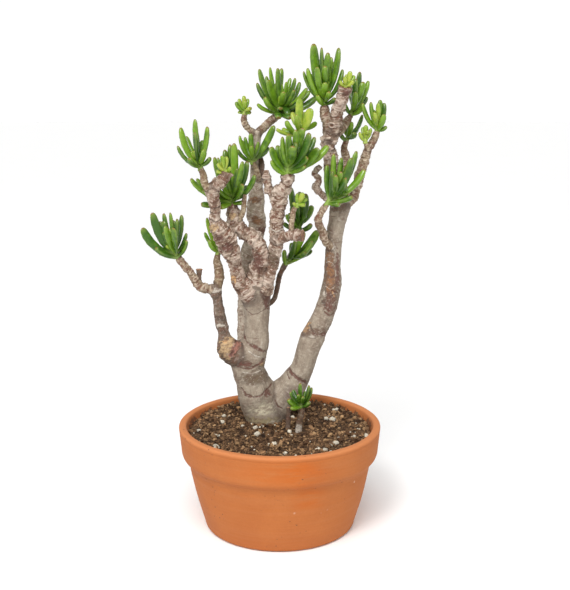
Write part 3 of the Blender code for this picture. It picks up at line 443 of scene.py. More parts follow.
# Scars that run in a line: stem, kind, half width and the x, z points that it passes
SCARS = (
    ("left_trunk", "red", 0.9, ((-41, 40), (-36, 34), (-28, 31), (-21, 32), (-15, 36), (-10, 41))),
    ("left_trunk", "red", 0.9, ((-38, 96), (-35, 90), (-29, 85), (-22, 82), (-16, 80))),
    ("left_trunk", "pale", 0.8, ((-32, 80), (-25, 75), (-18, 73))),
    ("left_trunk", "red", 0.6, ((-37, 129), (-33, 123), (-29, 120), (-23, 121), (-16, 125), (-11, 128))),
    ("left_trunk", "red", 1.0, ((-54, 75), (-46, 65), (-39, 62), (-31, 62), (-24, 65), (-18, 70))),
    ("left_trunk", "dark", 0.7, ((-46, 80), (-42, 74), (-38, 68))),
    ("left_trunk", "dark", 0.7, ((-6, 44), (-6, 36), (-5, 28))),
    ("left_trunk", "red", 0.7, ((-4, 25), (-2, 19), (2, 17))),
    ("left_trunk", "pale", 0.7, ((-39, 58), (-29, 56), (-19, 59))),
    ("right_trunk", "red", 0.9, ((9, 59), (14, 54), (20, 49), (28, 43))),
    ("right_trunk", "red", 0.7, ((7, 55), (10, 48))),
    ("right_trunk", "raw", 1.2, ((21, 96), (25, 103), (31, 109))),
    ("right_trunk", "dark", 0.6, ((31, 109), (34, 103), (38, 99))),
    ("right_trunk", "red", 0.8, ((35, 100), (40, 97), (45, 99))),
    ("right_trunk", "red", 0.9, ((46, 129), (50, 123), (56, 123), (59, 128))),
    ("right_trunk", "red", 0.6, ((47, 122), (52, 117), (58, 120))),
    ("right_trunk", "red", 0.8, ((49, 139), (50, 132), (54, 129), (58, 135))),
    ("right_trunk", "raw", 0.8, ((55, 143), (57, 138))),
    ("front_branch", "dark", 0.5, ((-70, 236), (-65, 234), (-59, 236))),
    ("front_branch", "dark", 0.5, ((-69, 223), (-63, 221), (-57, 224))),
    ("front_branch", "dark", 0.4, ((-70, 231), (-65, 229), (-59, 231))),
    ("centre_branch", "pale", 1.0, ((-10, 212), (-4, 209), (3, 212))),
    ("side_branch", "dark", 2.6, ((-65, 118), (-60, 117))),
    ("side_branch", "pale", 1.8, ((-64, 108), (-58, 108))),
    ("right_trunk", "dark", 0.6, ((-6, 44), (-6, 36), (-5, 28))),
    ("right_trunk", "red", 0.7, ((-4, 25), (-2, 19), (2, 17))),
    ("right_trunk", "dark", 0.5, ((49, 178), (48, 160), (48, 140), (47, 128))),
    ("right_trunk", "pale", 0.4, ((58, 186), (57, 179))),
    ("right_trunk", "pale", 0.3, ((58, 166), (58, 160))),
    ("right_trunk", "pale", 0.4, ((49, 174), (51, 175), (54, 174), (56, 172))),
    ("right_trunk", "pale", 0.3, ((48, 149), (51, 147), (53, 146), (56, 148))),
    ("right_trunk", "red", 0.7, ((49, 171), (51, 169), (54, 169), (57, 172))),
    ("right_trunk", "red", 0.6, ((49, 161), (52, 158), (55, 159), (57, 161))),
    ("right_trunk", "dark", 0.5, ((49, 151), (52, 148), (55, 149), (57, 151))),
    ("right_trunk", "dark", 0.6, ((48, 141), (51, 139), (55, 139), (58, 142))),
    ("upper_trunk", "dark", 0.5, ((45, 274), (52, 272), (59, 275))),
    ("upper_trunk", "dark", 0.5, ((44, 290), (50, 288), (57, 291))),
)


# ---- surfaces ------------------------------------------------------------------------------------


def smooth(low, high, value):
    """0 under low, 1 over high and the cubic 3t^2 - 2t^3 between."""
    t = np.clip((value - low) / (high - low), 0.0, 1.0)
    return t * t * (3.0 - 2.0 * t)


def bell(value):
    """The bell curve exp(-value^2)."""
    return np.exp(-(value**2))


def ripple(points, wavelength, seed, waves=12):
    """The sum of plane sine waves in random directions and phases, about -1 to 1, at each of the points."""
    draw = np.random.default_rng(seed)
    ways = draw.normal(size=(waves, 3))
    ways /= np.linalg.norm(ways, axis=1, keepdims=True)
    ways *= 2.0 * math.pi / wavelength * draw.uniform(0.6, 1.5, (waves, 1))
    phases = draw.uniform(0.0, 2.0 * math.pi, waves)
    return np.sin(points @ ways.T + phases).sum(axis=-1) / math.sqrt(2.0 * waves)


def unit(vectors):
    return vectors / np.maximum(np.linalg.norm(vectors, axis=-1, keepdims=True), 1e-9)


def full_turn(count):
    """The angles of a ring's points."""
    return np.arange(count) * 2.0 * math.pi / count


def round_ways(turn):
    """Flat unit vectors at these angles from the first axis."""
    return np.stack([np.cos(turn), np.sin(turn)], axis=-1)


def revolved(radius, height, ways):
    """Rings about the upright axis: the radius along each way, at the height."""
    heights = np.broadcast_to(height[:, None, None], (len(height), len(ways), 1))
    return np.concatenate([radius[:, None, None] * ways[None], heights], axis=-1)


def tube_faces(rows, around):
    """Quads of a grid that closes round, and triangles that close its first and last rows to two pole points,
    which come after the grid's."""
    i = np.arange(rows - 1)[:, None] * around
    j = np.arange(around)[None, :]
    k = (j + 1) % around
    quads = np.stack([i + j, i + k, i + around + k, i + around + j], axis=-1).reshape(-1, 4)
    ring = np.arange(around)
    after = (ring + 1) % around
    start, end = rows * around, rows * around + 1
    last = (rows - 1) * around
    foot = np.stack([after, ring, np.full(around, start)], axis=-1)
    head = np.stack([last + ring, last + after, np.full(around, end)], axis=-1)
    return quads, np.concatenate([foot, head])


def ring_faces(rows, around):
    """Quads of a grid that closes both ways, as a pan's outline turned about its axis does."""
    i = np.arange(rows)[:, None]
    j = np.arange(around)[None, :]
    below, beside = ((i + 1) % rows) * around, (j + 1) % around
    return np.stack([below + j, below + beside, i * around + beside, i * around + j], axis=-1).reshape(-1, 4)


def add_object(name, data):
    thing = bpy.data.objects.new(name, data)
    bpy.context.scene.collection.objects.link(thing)
    return thing


def make_mesh(name, points, quads, triangles, smooth_faces=True):
    """Puts whole arrays of points (in metres) and faces into one mesh object."""
    mesh = bpy.data.meshes.new(name)
    points = points.reshape(-1, 3)
    corners = np.concatenate([np.ravel(quads), np.ravel(triangles)]).astype(np.int32)
    sizes = np.concatenate([np.full(len(quads), 4), np.full(len(triangles), 3)])
    starts = np.concatenate([[0], np.cumsum(sizes)[:-1]]).astype(np.int32)
    mesh.vertices.add(len(points))
    mesh.vertices.foreach_set("co", np.ravel(points).astype(np.float32))
    mesh.loops.add(len(corners))
    mesh.loops.foreach_set("vertex_index", corners)
    mesh.polygons.add(len(sizes))
    mesh.polygons.foreach_set("loop_start", starts)
    mesh.polygons.foreach_set("use_smooth", np.full(len(sizes), smooth_faces))
    mesh.update(calc_edges=True)
    return add_object(name, mesh)


def make_piece(name, points, quads, triangles, slot, stands_for=(), smooth_faces=True):
    """One visible piece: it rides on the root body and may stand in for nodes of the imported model."""
    piece = make_mesh(name, points, quads, triangles, smooth_faces)
    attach(piece, "root")
    if stands_for:
        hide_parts(*stands_for)
    return piece


def paint(piece, name, kind, values):
    """Stores one value for each point: FLOAT, FLOAT_VECTOR or FLOAT_COLOR."""
    layer = piece.data.attributes.new(name, kind, "POINT")
    field = {"FLOAT": "value", "FLOAT_VECTOR": "vector", "FLOAT_COLOR": "color"}[kind]
    layer.data.foreach_set(field, np.ravel(values).astype(np.float32))


def to_row(points):
    """From the layout's millimetres to the row frame's metres."""
    return points * MM + np.array([AXIS_X, AXIS_Y, SOIL_LEVEL])


# ---- material nodes ------------------------------------------------------------------------------


def tint(colour, strength):
    """The colour made darker or lighter by a factor."""
    return tuple(min(1.0, strength * c) for c in colour)


class Nodes:
    """Short calls for one material's node tree, where each call returns the new node's main output."""

    def __init__(self, name):
        self.material = bpy.data.materials.new(name)
        self.material.use_nodes = True
        self.tree = self.material.node_tree
        self.shader = self.tree.nodes["Principled BSDF"]

    def put(self, socket, value):
        if isinstance(value, bpy.types.NodeSocket):
            self.tree.links.new(value, socket)
        elif isinstance(value, tuple) and len(value) == 3 and socket.type == "RGBA":
            socket.default_value = (*value, 1.0)
        else:
            socket.default_value = value

    def add(self, kind, inputs, **fields):
        """All outputs of a new node, each input of which is a number, a colour or another node's output."""
        node = self.tree.nodes.new("ShaderNode" + kind)
        for field, value in fields.items():
            setattr(node, field, value)
        for socket, value in inputs.items():
            self.put(node.inputs[socket], value)
        return node.outputs

    def place(self):
        return self.add("TexCoord", {})["Object"]

    def layer(self, name):
        """All outputs of the surface's own layer of that name."""
        return self.add("Attribute", {}, attribute_name=name)

    def channels(self, colour):
        return self.add("SeparateColor", {0: colour})

    def part(self, vector, axis):
        return self.add("SeparateXYZ", {0: vector})[axis]

    def stretch(self, vector, scale=(1.0, 1.0, 1.0), shift=(0.0, 0.0, 0.0)):
        return self.add("Mapping", {"Vector": vector, "Scale": scale, "Location": shift})["Vector"]

    def length(self, vector):
        return self.add("VectorMath", {0: vector}, operation="LENGTH")["Value"]

    def noise(self, vector, scale, detail=3.0, rough=0.55, warp=0.0):
        inputs = {"Vector": vector, "Scale": scale, "Detail": detail, "Roughness": rough, "Distortion": warp}
        return self.add("TexNoise", inputs)["Fac"]

    def cells(self, vector, scale):
        return self.add("TexVoronoi", {"Vector": vector, "Scale": scale})["Distance"]

    def span(self, value, low, high, start=0.0, end=1.0):
        """Smoothly maps low..high to start..end."""
        inputs = {"Value": value, "From Min": low, "From Max": high, "To Min": start, "To Max": end}
        return self.add("MapRange", inputs, interpolation_type="SMOOTHSTEP")["Result"]

    def plus(self, first, second):
        return self.add("Math", {0: first, 1: second}, operation="ADD")[0]

    def times(self, first, second):
        return self.add("Math", {0: first, 1: second}, operation="MULTIPLY")[0]

    def mix(self, share, first, second):
        # The Mix node keeps its colours at inputs 6 and 7 and gives their mix at output 2
        return self.add("Mix", {0: share, 6: first, 7: second}, data_type="RGBA")[2]

    def bump(self, height, strength, distance, under=None):
        inputs = {"Height": height, "Strength": strength, "Distance": distance}
        if under is not None:
            inputs["Normal"] = under
        return self.add("Bump", inputs)["Normal"]

    def finish(self, colour, roughness, normal, **fixed):
        """Feeds the shader: what varies is linked, and what is the same all over is set on its own socket."""
        self.put(self.shader.inputs["Base Color"], colour)
        self.put(self.shader.inputs["Roughness"], roughness)
        self.put(self.shader.inputs["Normal"], normal)
        for name, value in fixed.items():
            self.put(self.shader.inputs[name.replace("_", " ")], value)
        return self.material


# ---- the clay pan --------------------------------------------------------------------------------


def arc(centre, radius, start, end, count):
    """Points of a round corner in the outline's plane, from one angle in degrees to another."""
    return np.asarray(centre) + radius * round_ways(np.radians(np.linspace(start, end, count)))


def line(first, last, count):
    return np.linspace(first, last, count, endpoint=False)


def inner_radius(height):
    share = (height - FLOOR) / (PAN_TOP - FLOOR)
    return FOOT_RADIUS - WALL + (RIM_RADIUS - FOOT_RADIUS) * share


def pan_outline():
    """The pan's closed outline as radius and height: down the outside, under the foot and up the inside.

    Under the band the clay turns in by a rounded edge and then sweeps to the body, inwards by
    1 - (1 - t)^1.8 and down by 0.35 t + 0.65 t^1.7. The body is a straight line with a half sine's swell."""
    band_foot = RIM_RADIUS - BAND_TAPER
    under = PAN_TOP - BAND_HEIGHT
    body = np.array([band_foot - BAND_STEP, under - 1.15 * BAND_STEP])
    foot = np.array([FOOT_RADIUS, FOOT_ROUND])
    edge = arc((band_foot - UNDER_ROUND, under + UNDER_ROUND), UNDER_ROUND, 0, -UNDER_TURN, 12)
    curl = np.linspace(0.0, 1.0, 14, endpoint=False)
    shares = np.stack([1.0 - (1.0 - curl) ** 1.8, 0.35 * curl + 0.65 * curl**1.7], axis=-1)
    rise = np.linspace(0.0, 1.0, 60, endpoint=False)
    swell = BODY_SWELL * np.sin(math.pi * rise)
    lip_foot = PAN_TOP - LIP
    inner_lip = inner_radius(PAN_TOP) + LIP
    return np.concatenate([
        arc((RIM_RADIUS - LIP, lip_foot), LIP, 90, 0, 10)[:-1],
        line((RIM_RADIUS, lip_foot), (band_foot, under + UNDER_ROUND), 34),
        edge[:-1],
        edge[-1] + (body - edge[-1]) * shares,
        body + (foot - body) * rise[:, None] + np.stack([swell, 0.0 * rise], axis=-1),
        arc((FOOT_RADIUS - FOOT_ROUND, FOOT_ROUND), FOOT_ROUND, 0, -90, 8)[:-1],
        line((FOOT_RADIUS - FOOT_ROUND, 0.0), (DRAIN_RADIUS, 0.0), 10),
        line((DRAIN_RADIUS, 0.0), (DRAIN_RADIUS, FLOOR), 4),
        line((DRAIN_RADIUS, FLOOR), (inner_radius(FLOOR), FLOOR), 8),
        line((inner_radius(FLOOR), FLOOR), (inner_radius(lip_foot), lip_foot), 24),
        arc((inner_lip, lip_foot), LIP, 180, 90, 9),
        line((inner_lip, PAN_TOP), (RIM_RADIUS - LIP, PAN_TOP), 3)[1:],
    ])


def pan_surface(around, relief):
    """The outline turned about the pan's axis. A crease under the lip, faint rings left by the turning tool
    and a slow waver are offsets of the radius."""
    radius, height = pan_outline().T
    outside = smooth(FOOT_ROUND, 2 * FOOT_ROUND, height) * (radius > inner_radius(height) + 0.6 * WALL)
    crease = CREASE_DEPTH * bell((height - (PAN_TOP - CREASE_DOWN)) / CREASE_WIDTH)
    phases = np.random.default_rng(11).uniform(0, 6.28, len(TOOL_WAVES))
    fades = TOOL_FADE ** np.arange(len(TOOL_WAVES))
    rings = TOOL_DEPTH * (fades * np.sin(height[:, None] * np.array(TOOL_WAVES) + phases)).sum(axis=-1)
    ways = round_ways(full_turn(around))
    points = revolved(radius, height, ways)
    waver = 0.00016 * ripple(points, 0.05, 12) + 0.00005 * ripple(points, 0.012, 13)
    shift = outside[:, None] * relief * (waver + (rings - crease)[:, None])
    points[..., :2] += shift[..., None] * ways[None]
    return points


# Where the wall stayed damp: centre from the pan's axis, reach as one over its half size, strength
DAMP_PATCHES = (
    ((0.004, -0.100, 0.092), (17.0, 14.0, 50.0), 0.50),
    ((0.022, -0.100, 0.094), (42.0, 14.0, 50.0), 0.70),
    ((0.029, -0.088, 0.062), (48.0, 14.0, 58.0), 0.65),
)
DAMP_CLAY = (0.470, 0.108, 0.012)
LIP_TOP_CLAY = (0.64, 0.25, 0.098)
CLINGING_EARTH = (0.10, 0.048, 0.024)
PIT_BROWN = (0.13, 0.055, 0.028)
CHIP_PALE = (0.80, 0.66, 0.52)


def clay(pale, deep, dust):
    """Fired clay: slow clouds of two tones, a bloom along the turning marks, fine grain, damp patches, a
    lip that pales toward its top, earth clinging to the inner wall, and a few dark pits and pale chips."""
    n = Nodes("fired_clay")
    place = n.place()
    wide = n.noise(place, 18.0, 4.0, 0.55, 0.4)
    grain = n.noise(place, 420.0, 4.0, 0.6)
    turned = n.noise(n.stretch(place, (6.0, 6.0, 260.0)), 1.0, 3.0, 0.6)
    colour = n.mix(n.span(wide, 0.32, 0.7), deep, pale)
    colour = n.mix(n.span(turned, 0.35, 0.75, 0.0, 0.22), colour, dust)
    colour = n.mix(n.span(grain, 0.3, 0.75, 0.0, 0.16), colour, tint(deep, 0.72))
    # Deeper patches where the wall stayed damp, brushed sideways
    brushed = n.noise(n.stretch(place, (30.0, 30.0, 160.0)), 1.0, 4.0, 0.7)
    for (x, y, z), reach, strength in DAMP_PATCHES:
        shift = tuple(-c * r for c, r in zip((x + AXIS_X, y, z), reach))
        near = n.span(n.length(n.stretch(place, reach, shift)), 1.25, 0.15)
        damp = n.times(near, n.span(brushed, 0.28, 0.60))
        colour = n.mix(n.times(damp, strength), colour, DAMP_CLAY)
    # The clay pales toward the lip's top, and earth clings to the inner wall
    height = n.part(place, 2)
    lip = n.span(height, PAN_TOP - 0.0045, PAN_TOP - 0.0005, 0.0, 0.5)
    colour = n.mix(lip, colour, LIP_TOP_CLAY)
    radius = n.length(n.stretch(place, (1.0, 1.0, 0.0), (-AXIS_X, -AXIS_Y, 0.0)))
    inner = n.span(radius, RIM_RADIUS - 0.0026, RIM_RADIUS - 0.0050)
    inside = n.times(inner, n.span(height, 0.09, 0.092))
    smear = n.noise(n.stretch(place, shift=(0.9, 0.4, 0.1)), 75.0, 5.0, 0.72)
    low = n.span(height, PAN_TOP - 0.0015, PAN_TOP - 0.0065, -0.10, 0.06)
    dirt = n.times(inside, n.span(n.plus(smear, low), 0.53, 0.60))
    colour = n.mix(n.times(dirt, 0.8), colour, CLINGING_EARTH)
    pits = n.cells(n.stretch(place, (1.0, 1.0, 1.3)), 190.0)
    few = n.span(n.noise(place, 24.0, 2.0), 0.56, 0.66)
    pit = n.times(n.span(pits, 0.20, 0.12), few)
    colour = n.mix(n.times(pit, 0.8), colour, PIT_BROWN)
    chips = n.cells(n.stretch(place, shift=(3.1, 1.7, 0.4)), 90.0)
    rare = n.span(n.noise(n.stretch(place, shift=(0.7, 0.2, 0.9)), 30.0, 2.0), 0.63, 0.68)
    chip = n.times(n.span(chips, 0.13, 0.09), rare)
    colour = n.mix(n.times(chip, 0.85), colour, CHIP_PALE)
    normal = n.bump(turned, 0.18, 0.0006)
    normal = n.bump(grain, 0.35, 0.0003, normal)
    normal = n.bump(n.times(n.plus(pit, chip), -1.0), 0.6, 0.0006, normal)
    return n.finish(colour, n.span(wide, 0.3, 0.7, 0.74, 0.9), normal, Specular_IOR_Level=0.3)


# ---- the soil ------------------------------------------------------------------------------------


def bed_rise(share, back):
    """The bed's dome and its bank. The dome is 1 - share^2, with a shore that rises toward the wall, as the
    share runs from 0 at the axis to 1 at the wall. The bank rises with back, the share's part to the back."""
    dome = SOIL_CROWN * (1.0 - share**2) + SHORE_RISE * smooth(0.72, 0.95, share)
    return dome, BACK_RISE * smooth(0.35, 1.0, back)


def bed_surface(rows, around, roughness):
    """A disc of rings from its middle to the wall, then down the wall to the pan's floor. Its height is the
    bed's rise plus clods made of ripples of three sizes, and all are let down at the wall."""
    edge = inner_radius(SOIL_LEVEL - 0.002) - BED_GAP
    share = np.linspace(0.012, 1.0, rows)
    ways = round_ways(full_turn(around))
    points = revolved(share * edge, 0.0 * share, ways)
    clods = 0.7 * ripple(points, 0.020, 21) + 0.8 * ripple(points, 0.009, 22)
    clods += 0.5 * ripple(points, 0.0040, 23)
    fade = 1.0 - 0.7 * smooth(0.93, 1.0, share)
    dome, bank = bed_rise(share, share[:, None] * ways[None, :, 1])
    dome -= 0.0008 * smooth(0.97, 1.0, share)
    bank *= smooth(1.0, 0.985, share)[:, None]
    points[..., 2] = SOIL_LEVEL - 0.0008 + dome[:, None] + bank + roughness * fade[:, None] * clods
    low = SOIL_LOW[2]
    side_height = np.linspace(SOIL_LEVEL - 0.004, low, 6)
    side_radius = inner_radius(side_height) - BED_GAP
    sides = revolved(side_radius, side_height, ways)
    foot = revolved(0.1 * side_radius[-1:], np.array([low]), ways)
    # From the floor up, so that the grid's faces look outwards
    return np.concatenate([foot, sides[::-1], points[::-1]])


def bed_height(places):
    """The bed's height under scattered grains, without its finest clods."""
    edge = inner_radius(SOIL_LEVEL - 0.002)
    flat = np.concatenate([places, np.zeros((len(places), 1))], axis=-1)
    clods = 0.7 * ripple(flat, 0.020, 21) + 0.8 * ripple(flat, 0.009, 22)
    dome, bank = bed_rise(np.linalg.norm(places, axis=-1) / edge, places[..., 1] / edge)
    return SOIL_LEVEL - 0.0006 + dome + bank + 0.0010 * clods


def ball(fine):
    """The points and triangles of a twenty-sided ball, each face cut in four when fine."""
    g = (1.0 + math.sqrt(5.0)) / 2.0
    points = np.array([
        (-1, g, 0), (1, g, 0), (-1, -g, 0), (1, -g, 0), (0, -1, g), (0, 1, g),
        (0, -1, -g), (0, 1, -g), (g, 0, -1), (g, 0, 1), (-g, 0, -1), (-g, 0, 1)], float)
    faces = np.array([
        (0, 11, 5), (0, 5, 1), (0, 1, 7), (0, 7, 10), (0, 10, 11), (1, 5, 9), (5, 11, 4),
        (11, 10, 2), (10, 7, 6), (7, 1, 8), (3, 9, 4), (3, 4, 2), (3, 2, 6), (3, 6, 8),
        (3, 8, 9), (4, 9, 5), (2, 4, 11), (6, 2, 10), (8, 6, 7), (9, 8, 1)])
    points = unit(points)
    if not fine:
        return points, faces
    edges = np.sort(np.concatenate([faces[:, [0, 1]], faces[:, [1, 2]], faces[:, [2, 0]]]), axis=1)
    known, index = np.unique(edges, axis=0, return_inverse=True)
    middles = unit(points[known].sum(axis=1))
    ab, bc, ca = np.split(index.reshape(-1) + len(points), 3)
    a, b, c = faces.T
    quarters = ((a, ab, ca), (ab, b, bc), (ca, bc, c), (ab, bc, ca))
    return np.concatenate([points, middles]), np.concatenate([np.stack(q, axis=-1) for q in quarters])


def turns(draw, count):
    """Random rotation matrices from unit quaternions."""
    w, x, y, z = unit(draw.normal(size=(count, 4))).T
    return np.stack([
        np.stack([1 - 2 * (y * y + z * z), 2 * (x * y - w * z), 2 * (x * z + w * y)], axis=-1),
        np.stack([2 * (x * y + w * z), 1 - 2 * (x * x + z * z), 2 * (y * z - w * x)], axis=-1),
        np.stack([2 * (x * z - w * y), 2 * (y * z + w * x), 1 - 2 * (x * x + y * y)], axis=-1),
    ], axis=1)


def scattered(draw, count, keep_out):
    """Places on the soil, evenly over its disc, outside the circles where stems rise."""
    edge = inner_radius(SOIL_LEVEL) - 0.0012
    places = np.empty((0, 2))
    while len(places) < count:
        tried = draw.uniform(-edge, edge, (count, 2))
        good = np.linalg.norm(tried, axis=1) < edge
        for x, y, radius in keep_out:
            good &= np.linalg.norm(tried - (x, y), axis=1) > radius
        places = np.concatenate([places, tried[good]])
    return places[:count]


def grains(seed, places, sizes, shape, uneven, sunk, fine=False):
    """Many lumps in one array. Each is a ball drawn out by random lengths along its own axes, with its corners
    pushed in or out. It is turned at random, made a fifth flatter and sunk by a share of its size."""
    draw = np.random.default_rng(seed)
    points, faces = ball(fine)
    count = len(places)
    drawn = draw.uniform(shape[0], shape[1], (count, 1, 3)) * points[None]
    drawn = drawn * draw.uniform(1.0 - uneven, 1.0 + uneven, (count, len(points), 1))
    turned = np.einsum("nij,nkj->nki", turns(draw, count), drawn * sizes[:, None, None] / 2.0)
    turned[..., 2] *= 0.8
    middle = np.concatenate([places, (bed_height(places) + sizes * (0.5 - sunk))[:, None]], axis=-1)
    everything = (turned + middle[:, None]).reshape(-1, 3)
    faces = (faces[None] + (np.arange(count) * len(points))[:, None, None]).reshape(-1, 3)
    patchy = 0.25 * ripple(middle, 0.024, 26) + 0.15 * ripple(middle, 0.008, 27)
    tone = np.clip(draw.uniform(0.0, 1.0, count) ** 1.5 + patchy, 0.0, 1.0)
    return everything, faces, np.repeat(tone, len(points))


def earth(name, dark, pale):
    """Crumbly earth: each grain's own tone, painted shade in the hollows of its clods, with fine grit."""
    n = Nodes(name)
    place = n.place()
    clods = n.noise(place, 260.0, 5.0, 0.65)
    grit = n.noise(place, 1100.0, 3.0, 0.6)
    colour = n.mix(n.layer("tone")["Fac"], dark, pale)
    # Painted shade: the earth darkens where the clods' bump sinks
    colour = n.mix(n.span(clods, 0.62, 0.32, 0.0, 0.75), colour, tint(dark, 0.35))
    colour = n.mix(n.span(grit, 0.55, 0.8, 0.0, 0.6), colour, tint(pale, 1.5))
    normal = n.bump(clods, 0.7, 0.0012)
    normal = n.bump(grit, 0.5, 0.0004, normal)
    return n.finish(colour, n.span(grit, 0.3, 0.8, 0.82, 0.98), normal, Specular_IOR_Level=0.22)


# ---- stems ---------------------------------------------------------------------------------------


def smooth_line(knots, gap):
    """Distances along, and points with radius on, a curve through the knots. Between two knots it is the
    cubic that has their values and slopes, where a slope comes from the knots on either side."""
    knots = np.asarray(knots, float)
    lengths = np.linalg.norm(np.diff(knots[:, :3], axis=0), axis=1)
    at = np.concatenate([[0.0], np.cumsum(lengths)])
    slopes = np.gradient(knots, at, axis=0)
    run = np.linspace(0.0, at[-1], max(6, int(round(at[-1] / gap))) + 1)
    i = np.clip(np.searchsorted(at, run, side="right") - 1, 0, len(at) - 2)
    size = lengths[i][:, None]
    u = ((run - at[i]) / lengths[i])[:, None]
    curve = (
        (2 * u**3 - 3 * u**2 + 1) * knots[i]
        + (u**3 - 2 * u**2 + u) * size * slopes[i]
        + (3 * u**2 - 2 * u**3) * knots[i + 1]
        + (u**3 - u**2) * size * slopes[i + 1]
    )
    return run, curve


def gap_to(points, knots):
    """Signed distance from points to a chain of cones: the distance to the nearest point of each axis less
    the radius there, and the least of those."""
    a, b = knots[:-1], knots[1:]
    ways = b[:, :3] - a[:, :3]
    share = ((points[:, None] - a[:, :3]) * ways).sum(-1) / (ways**2).sum(-1)
    share = np.clip(share, 0.0, 1.0)
    nearest = a[:, :3] + share[..., None] * ways
    radius = a[:, 3] + share * (b[:, 3] - a[:, 3])
    return (np.linalg.norm(points[:, None] - nearest, axis=-1) - radius).min(axis=1)


# How far the wood between two kin swells, as a share of the younger foot's radius
FILLET = 0.85
# Two stems of one parent swell together only if their feet are nearer than this
SIBLING_REACH = 34.0


def kin_of(name, parent, knots):
    """The stems this one swells into, with the reach: its parent, its children and those beside its foot."""
    for other, other_parent, other_knots in STEMS:
        if other == name:
            continue
        theirs = np.array(other_knots, float)
        apart = np.linalg.norm(theirs[0, :3] - knots[0, :3])
        if other == parent:
            yield theirs, FILLET * knots[0, 3]
        elif other_parent == name:
            yield theirs, FILLET * theirs[0, 3]
        elif parent and other_parent == parent and apart < SIBLING_REACH:
            yield theirs, 0.7 * FILLET * min(knots[0, 3], theirs[0, 3])


# The extra rings of each kind of end: a ring's share of the end's radius, and how many radii past the end
END_SHAPES = {
    "round": ((0.96, 0.14), (0.84, 0.27), (0.64, 0.37), (0.36, 0.44)),
    "cut": ((0.985, 0.05), (0.92, 0.13), (0.78, 0.14), (0.58, 0.06), (0.30, -0.03)),
    "mushroom": ((1.08, 0.10), (1.14, 0.28), (1.02, 0.42), (0.74, 0.46), (0.35, 0.36)),
}


def end_rings(shape, knot, way):
    """The extra rings past one end, and how far past it each of them lies."""
    past = shape[:, 1:] * knot[3]
    return np.concatenate([knot[:3] + past * way, shape[:, :1] * knot[3]], axis=-1), past[:, 0]


def with_ends(run, curve, cut):
    """Adds the rings of a round foot and of the stem's own kind of end."""
    first = unit(curve[0, :3] - curve[1, :3])
    last = unit(curve[-1, :3] - curve[-2, :3])
    low, low_past = end_rings(np.array(END_SHAPES["round"])[::-1], curve[0], first)
    high, high_past = end_rings(np.array(END_SHAPES[cut]), curve[-1], last)
    whole = np.concatenate([low, curve, high])
    along = unit(np.gradient(curve[:, :3], run, axis=0))
    before, after = np.repeat(along[:1], len(low), axis=0), np.repeat(along[-1:], len(high), axis=0)
    along = np.concatenate([before, along, after])
    at = np.concatenate([run[0] - low_past, run, run[-1] + high_past])
    return at, whole, along


def leaf_rings(draw, at, turn, radius, gap, plain, strength, scar_height, backward):
    """Relief and stains of the rings and paired scars that fallen leaves leave.

    A ring is a groove, minus a bell curve of the distance along the stem, with a lip under it and a slow
    swelling round it. Its plane leans a little. A pair of scars sits on each ring, a quarter turn on from the
    pair below: a raised rim, a bell curve of the oval distance about 1, round a sunken middle, about 0."""
    length = at[-1]
    count = max(1, int((length - 1.5) / gap))
    places = (np.arange(count) + 0.55 + draw.uniform(-0.16, 0.16, count)) * gap
    spins = (np.arange(count) % 2) * math.pi / 2 + draw.uniform(0, 6.28) + draw.normal(0, 0.22, count)
    leans = draw.uniform(-0.16, 0.16, (2, count))
    power = draw.uniform(0.0, 1.1, (2, count)) ** 1.6
    power = np.where(draw.uniform(size=(2, count)) > 0.86, 1.8, power)
    shift = draw.uniform(-0.25, 0.25, (2, count)) * gap
    relief = np.zeros((len(at), len(turn)))
    ring, scar, rim = relief.copy(), relief.copy(), relief.copy()
    cosine, sine = np.cos(turn)[None], np.sin(turn)[None]
    for k in range(count):
        near = np.abs(at - places[k]) < 1.1 * gap + 3.0
        if not near.any():
            continue
        thick = radius[near][:, None]
        away = at[near][:, None] - places[k] - thick * (leans[0, k] * cosine + leans[1, k] * sine)
        bare = smooth(plain - 3.0, plain + 3.0, places[k])
        here = np.maximum(bare, 0.45 * backward[near])
        broken = 0.55 + 0.45 * np.sin(turn * draw.integers(2, 5) + draw.uniform(0, 6.28))[None]
        groove = bell(away / 0.42) * (0.45 + 0.55 * broken)
        lip = bell((away + 0.95) / 0.6)
        swell = bell(away / (0.30 * gap))
        facing = np.cos(turn - spins[k])[None]
        bend = np.arccos(np.clip(np.abs(facing), 0.0, 1.0))
        wide = np.minimum(0.50 * thick + 0.6, 4.2)
        tall = min(2.5, 0.36 * gap)
        slid = np.where(facing > 0, shift[0, k], shift[1, k])
        oval = np.sqrt((thick * bend / wide) ** 2 + ((away + 0.2 + slid) / tall) ** 2)
        oval = oval + 0.22 * np.sin(5.0 * turn + spins[k] * 3.0)[None] * smooth(0.2, 0.8, oval)
        strong = np.where(facing > 0, power[0, k], power[1, k])
        raised = 0.75 * bell(oval / 1.35) + 0.45 * bell((oval - 1.0) / 0.27)
        sunk = 0.95 * bell(oval / 0.5)
        size = np.minimum(1.0, thick / 4.0)
        relief[near] += here * size * (
            strength * (0.7 * lip - groove + 1.15 * swell) + scar_height * strong * (raised - sunk)
        )
        ring[near] = np.maximum(ring[near], here * groove * (0.4 + 0.6 * broken))
        shown = np.minimum(1.0, strong)
        scar[near] = np.maximum(scar[near], here * bell(oval / 0.66) * shown)
        rim[near] = np.maximum(rim[near], here * bell((oval - 1.05) / 0.26) * shown)
    return relief, ring, scar, rim


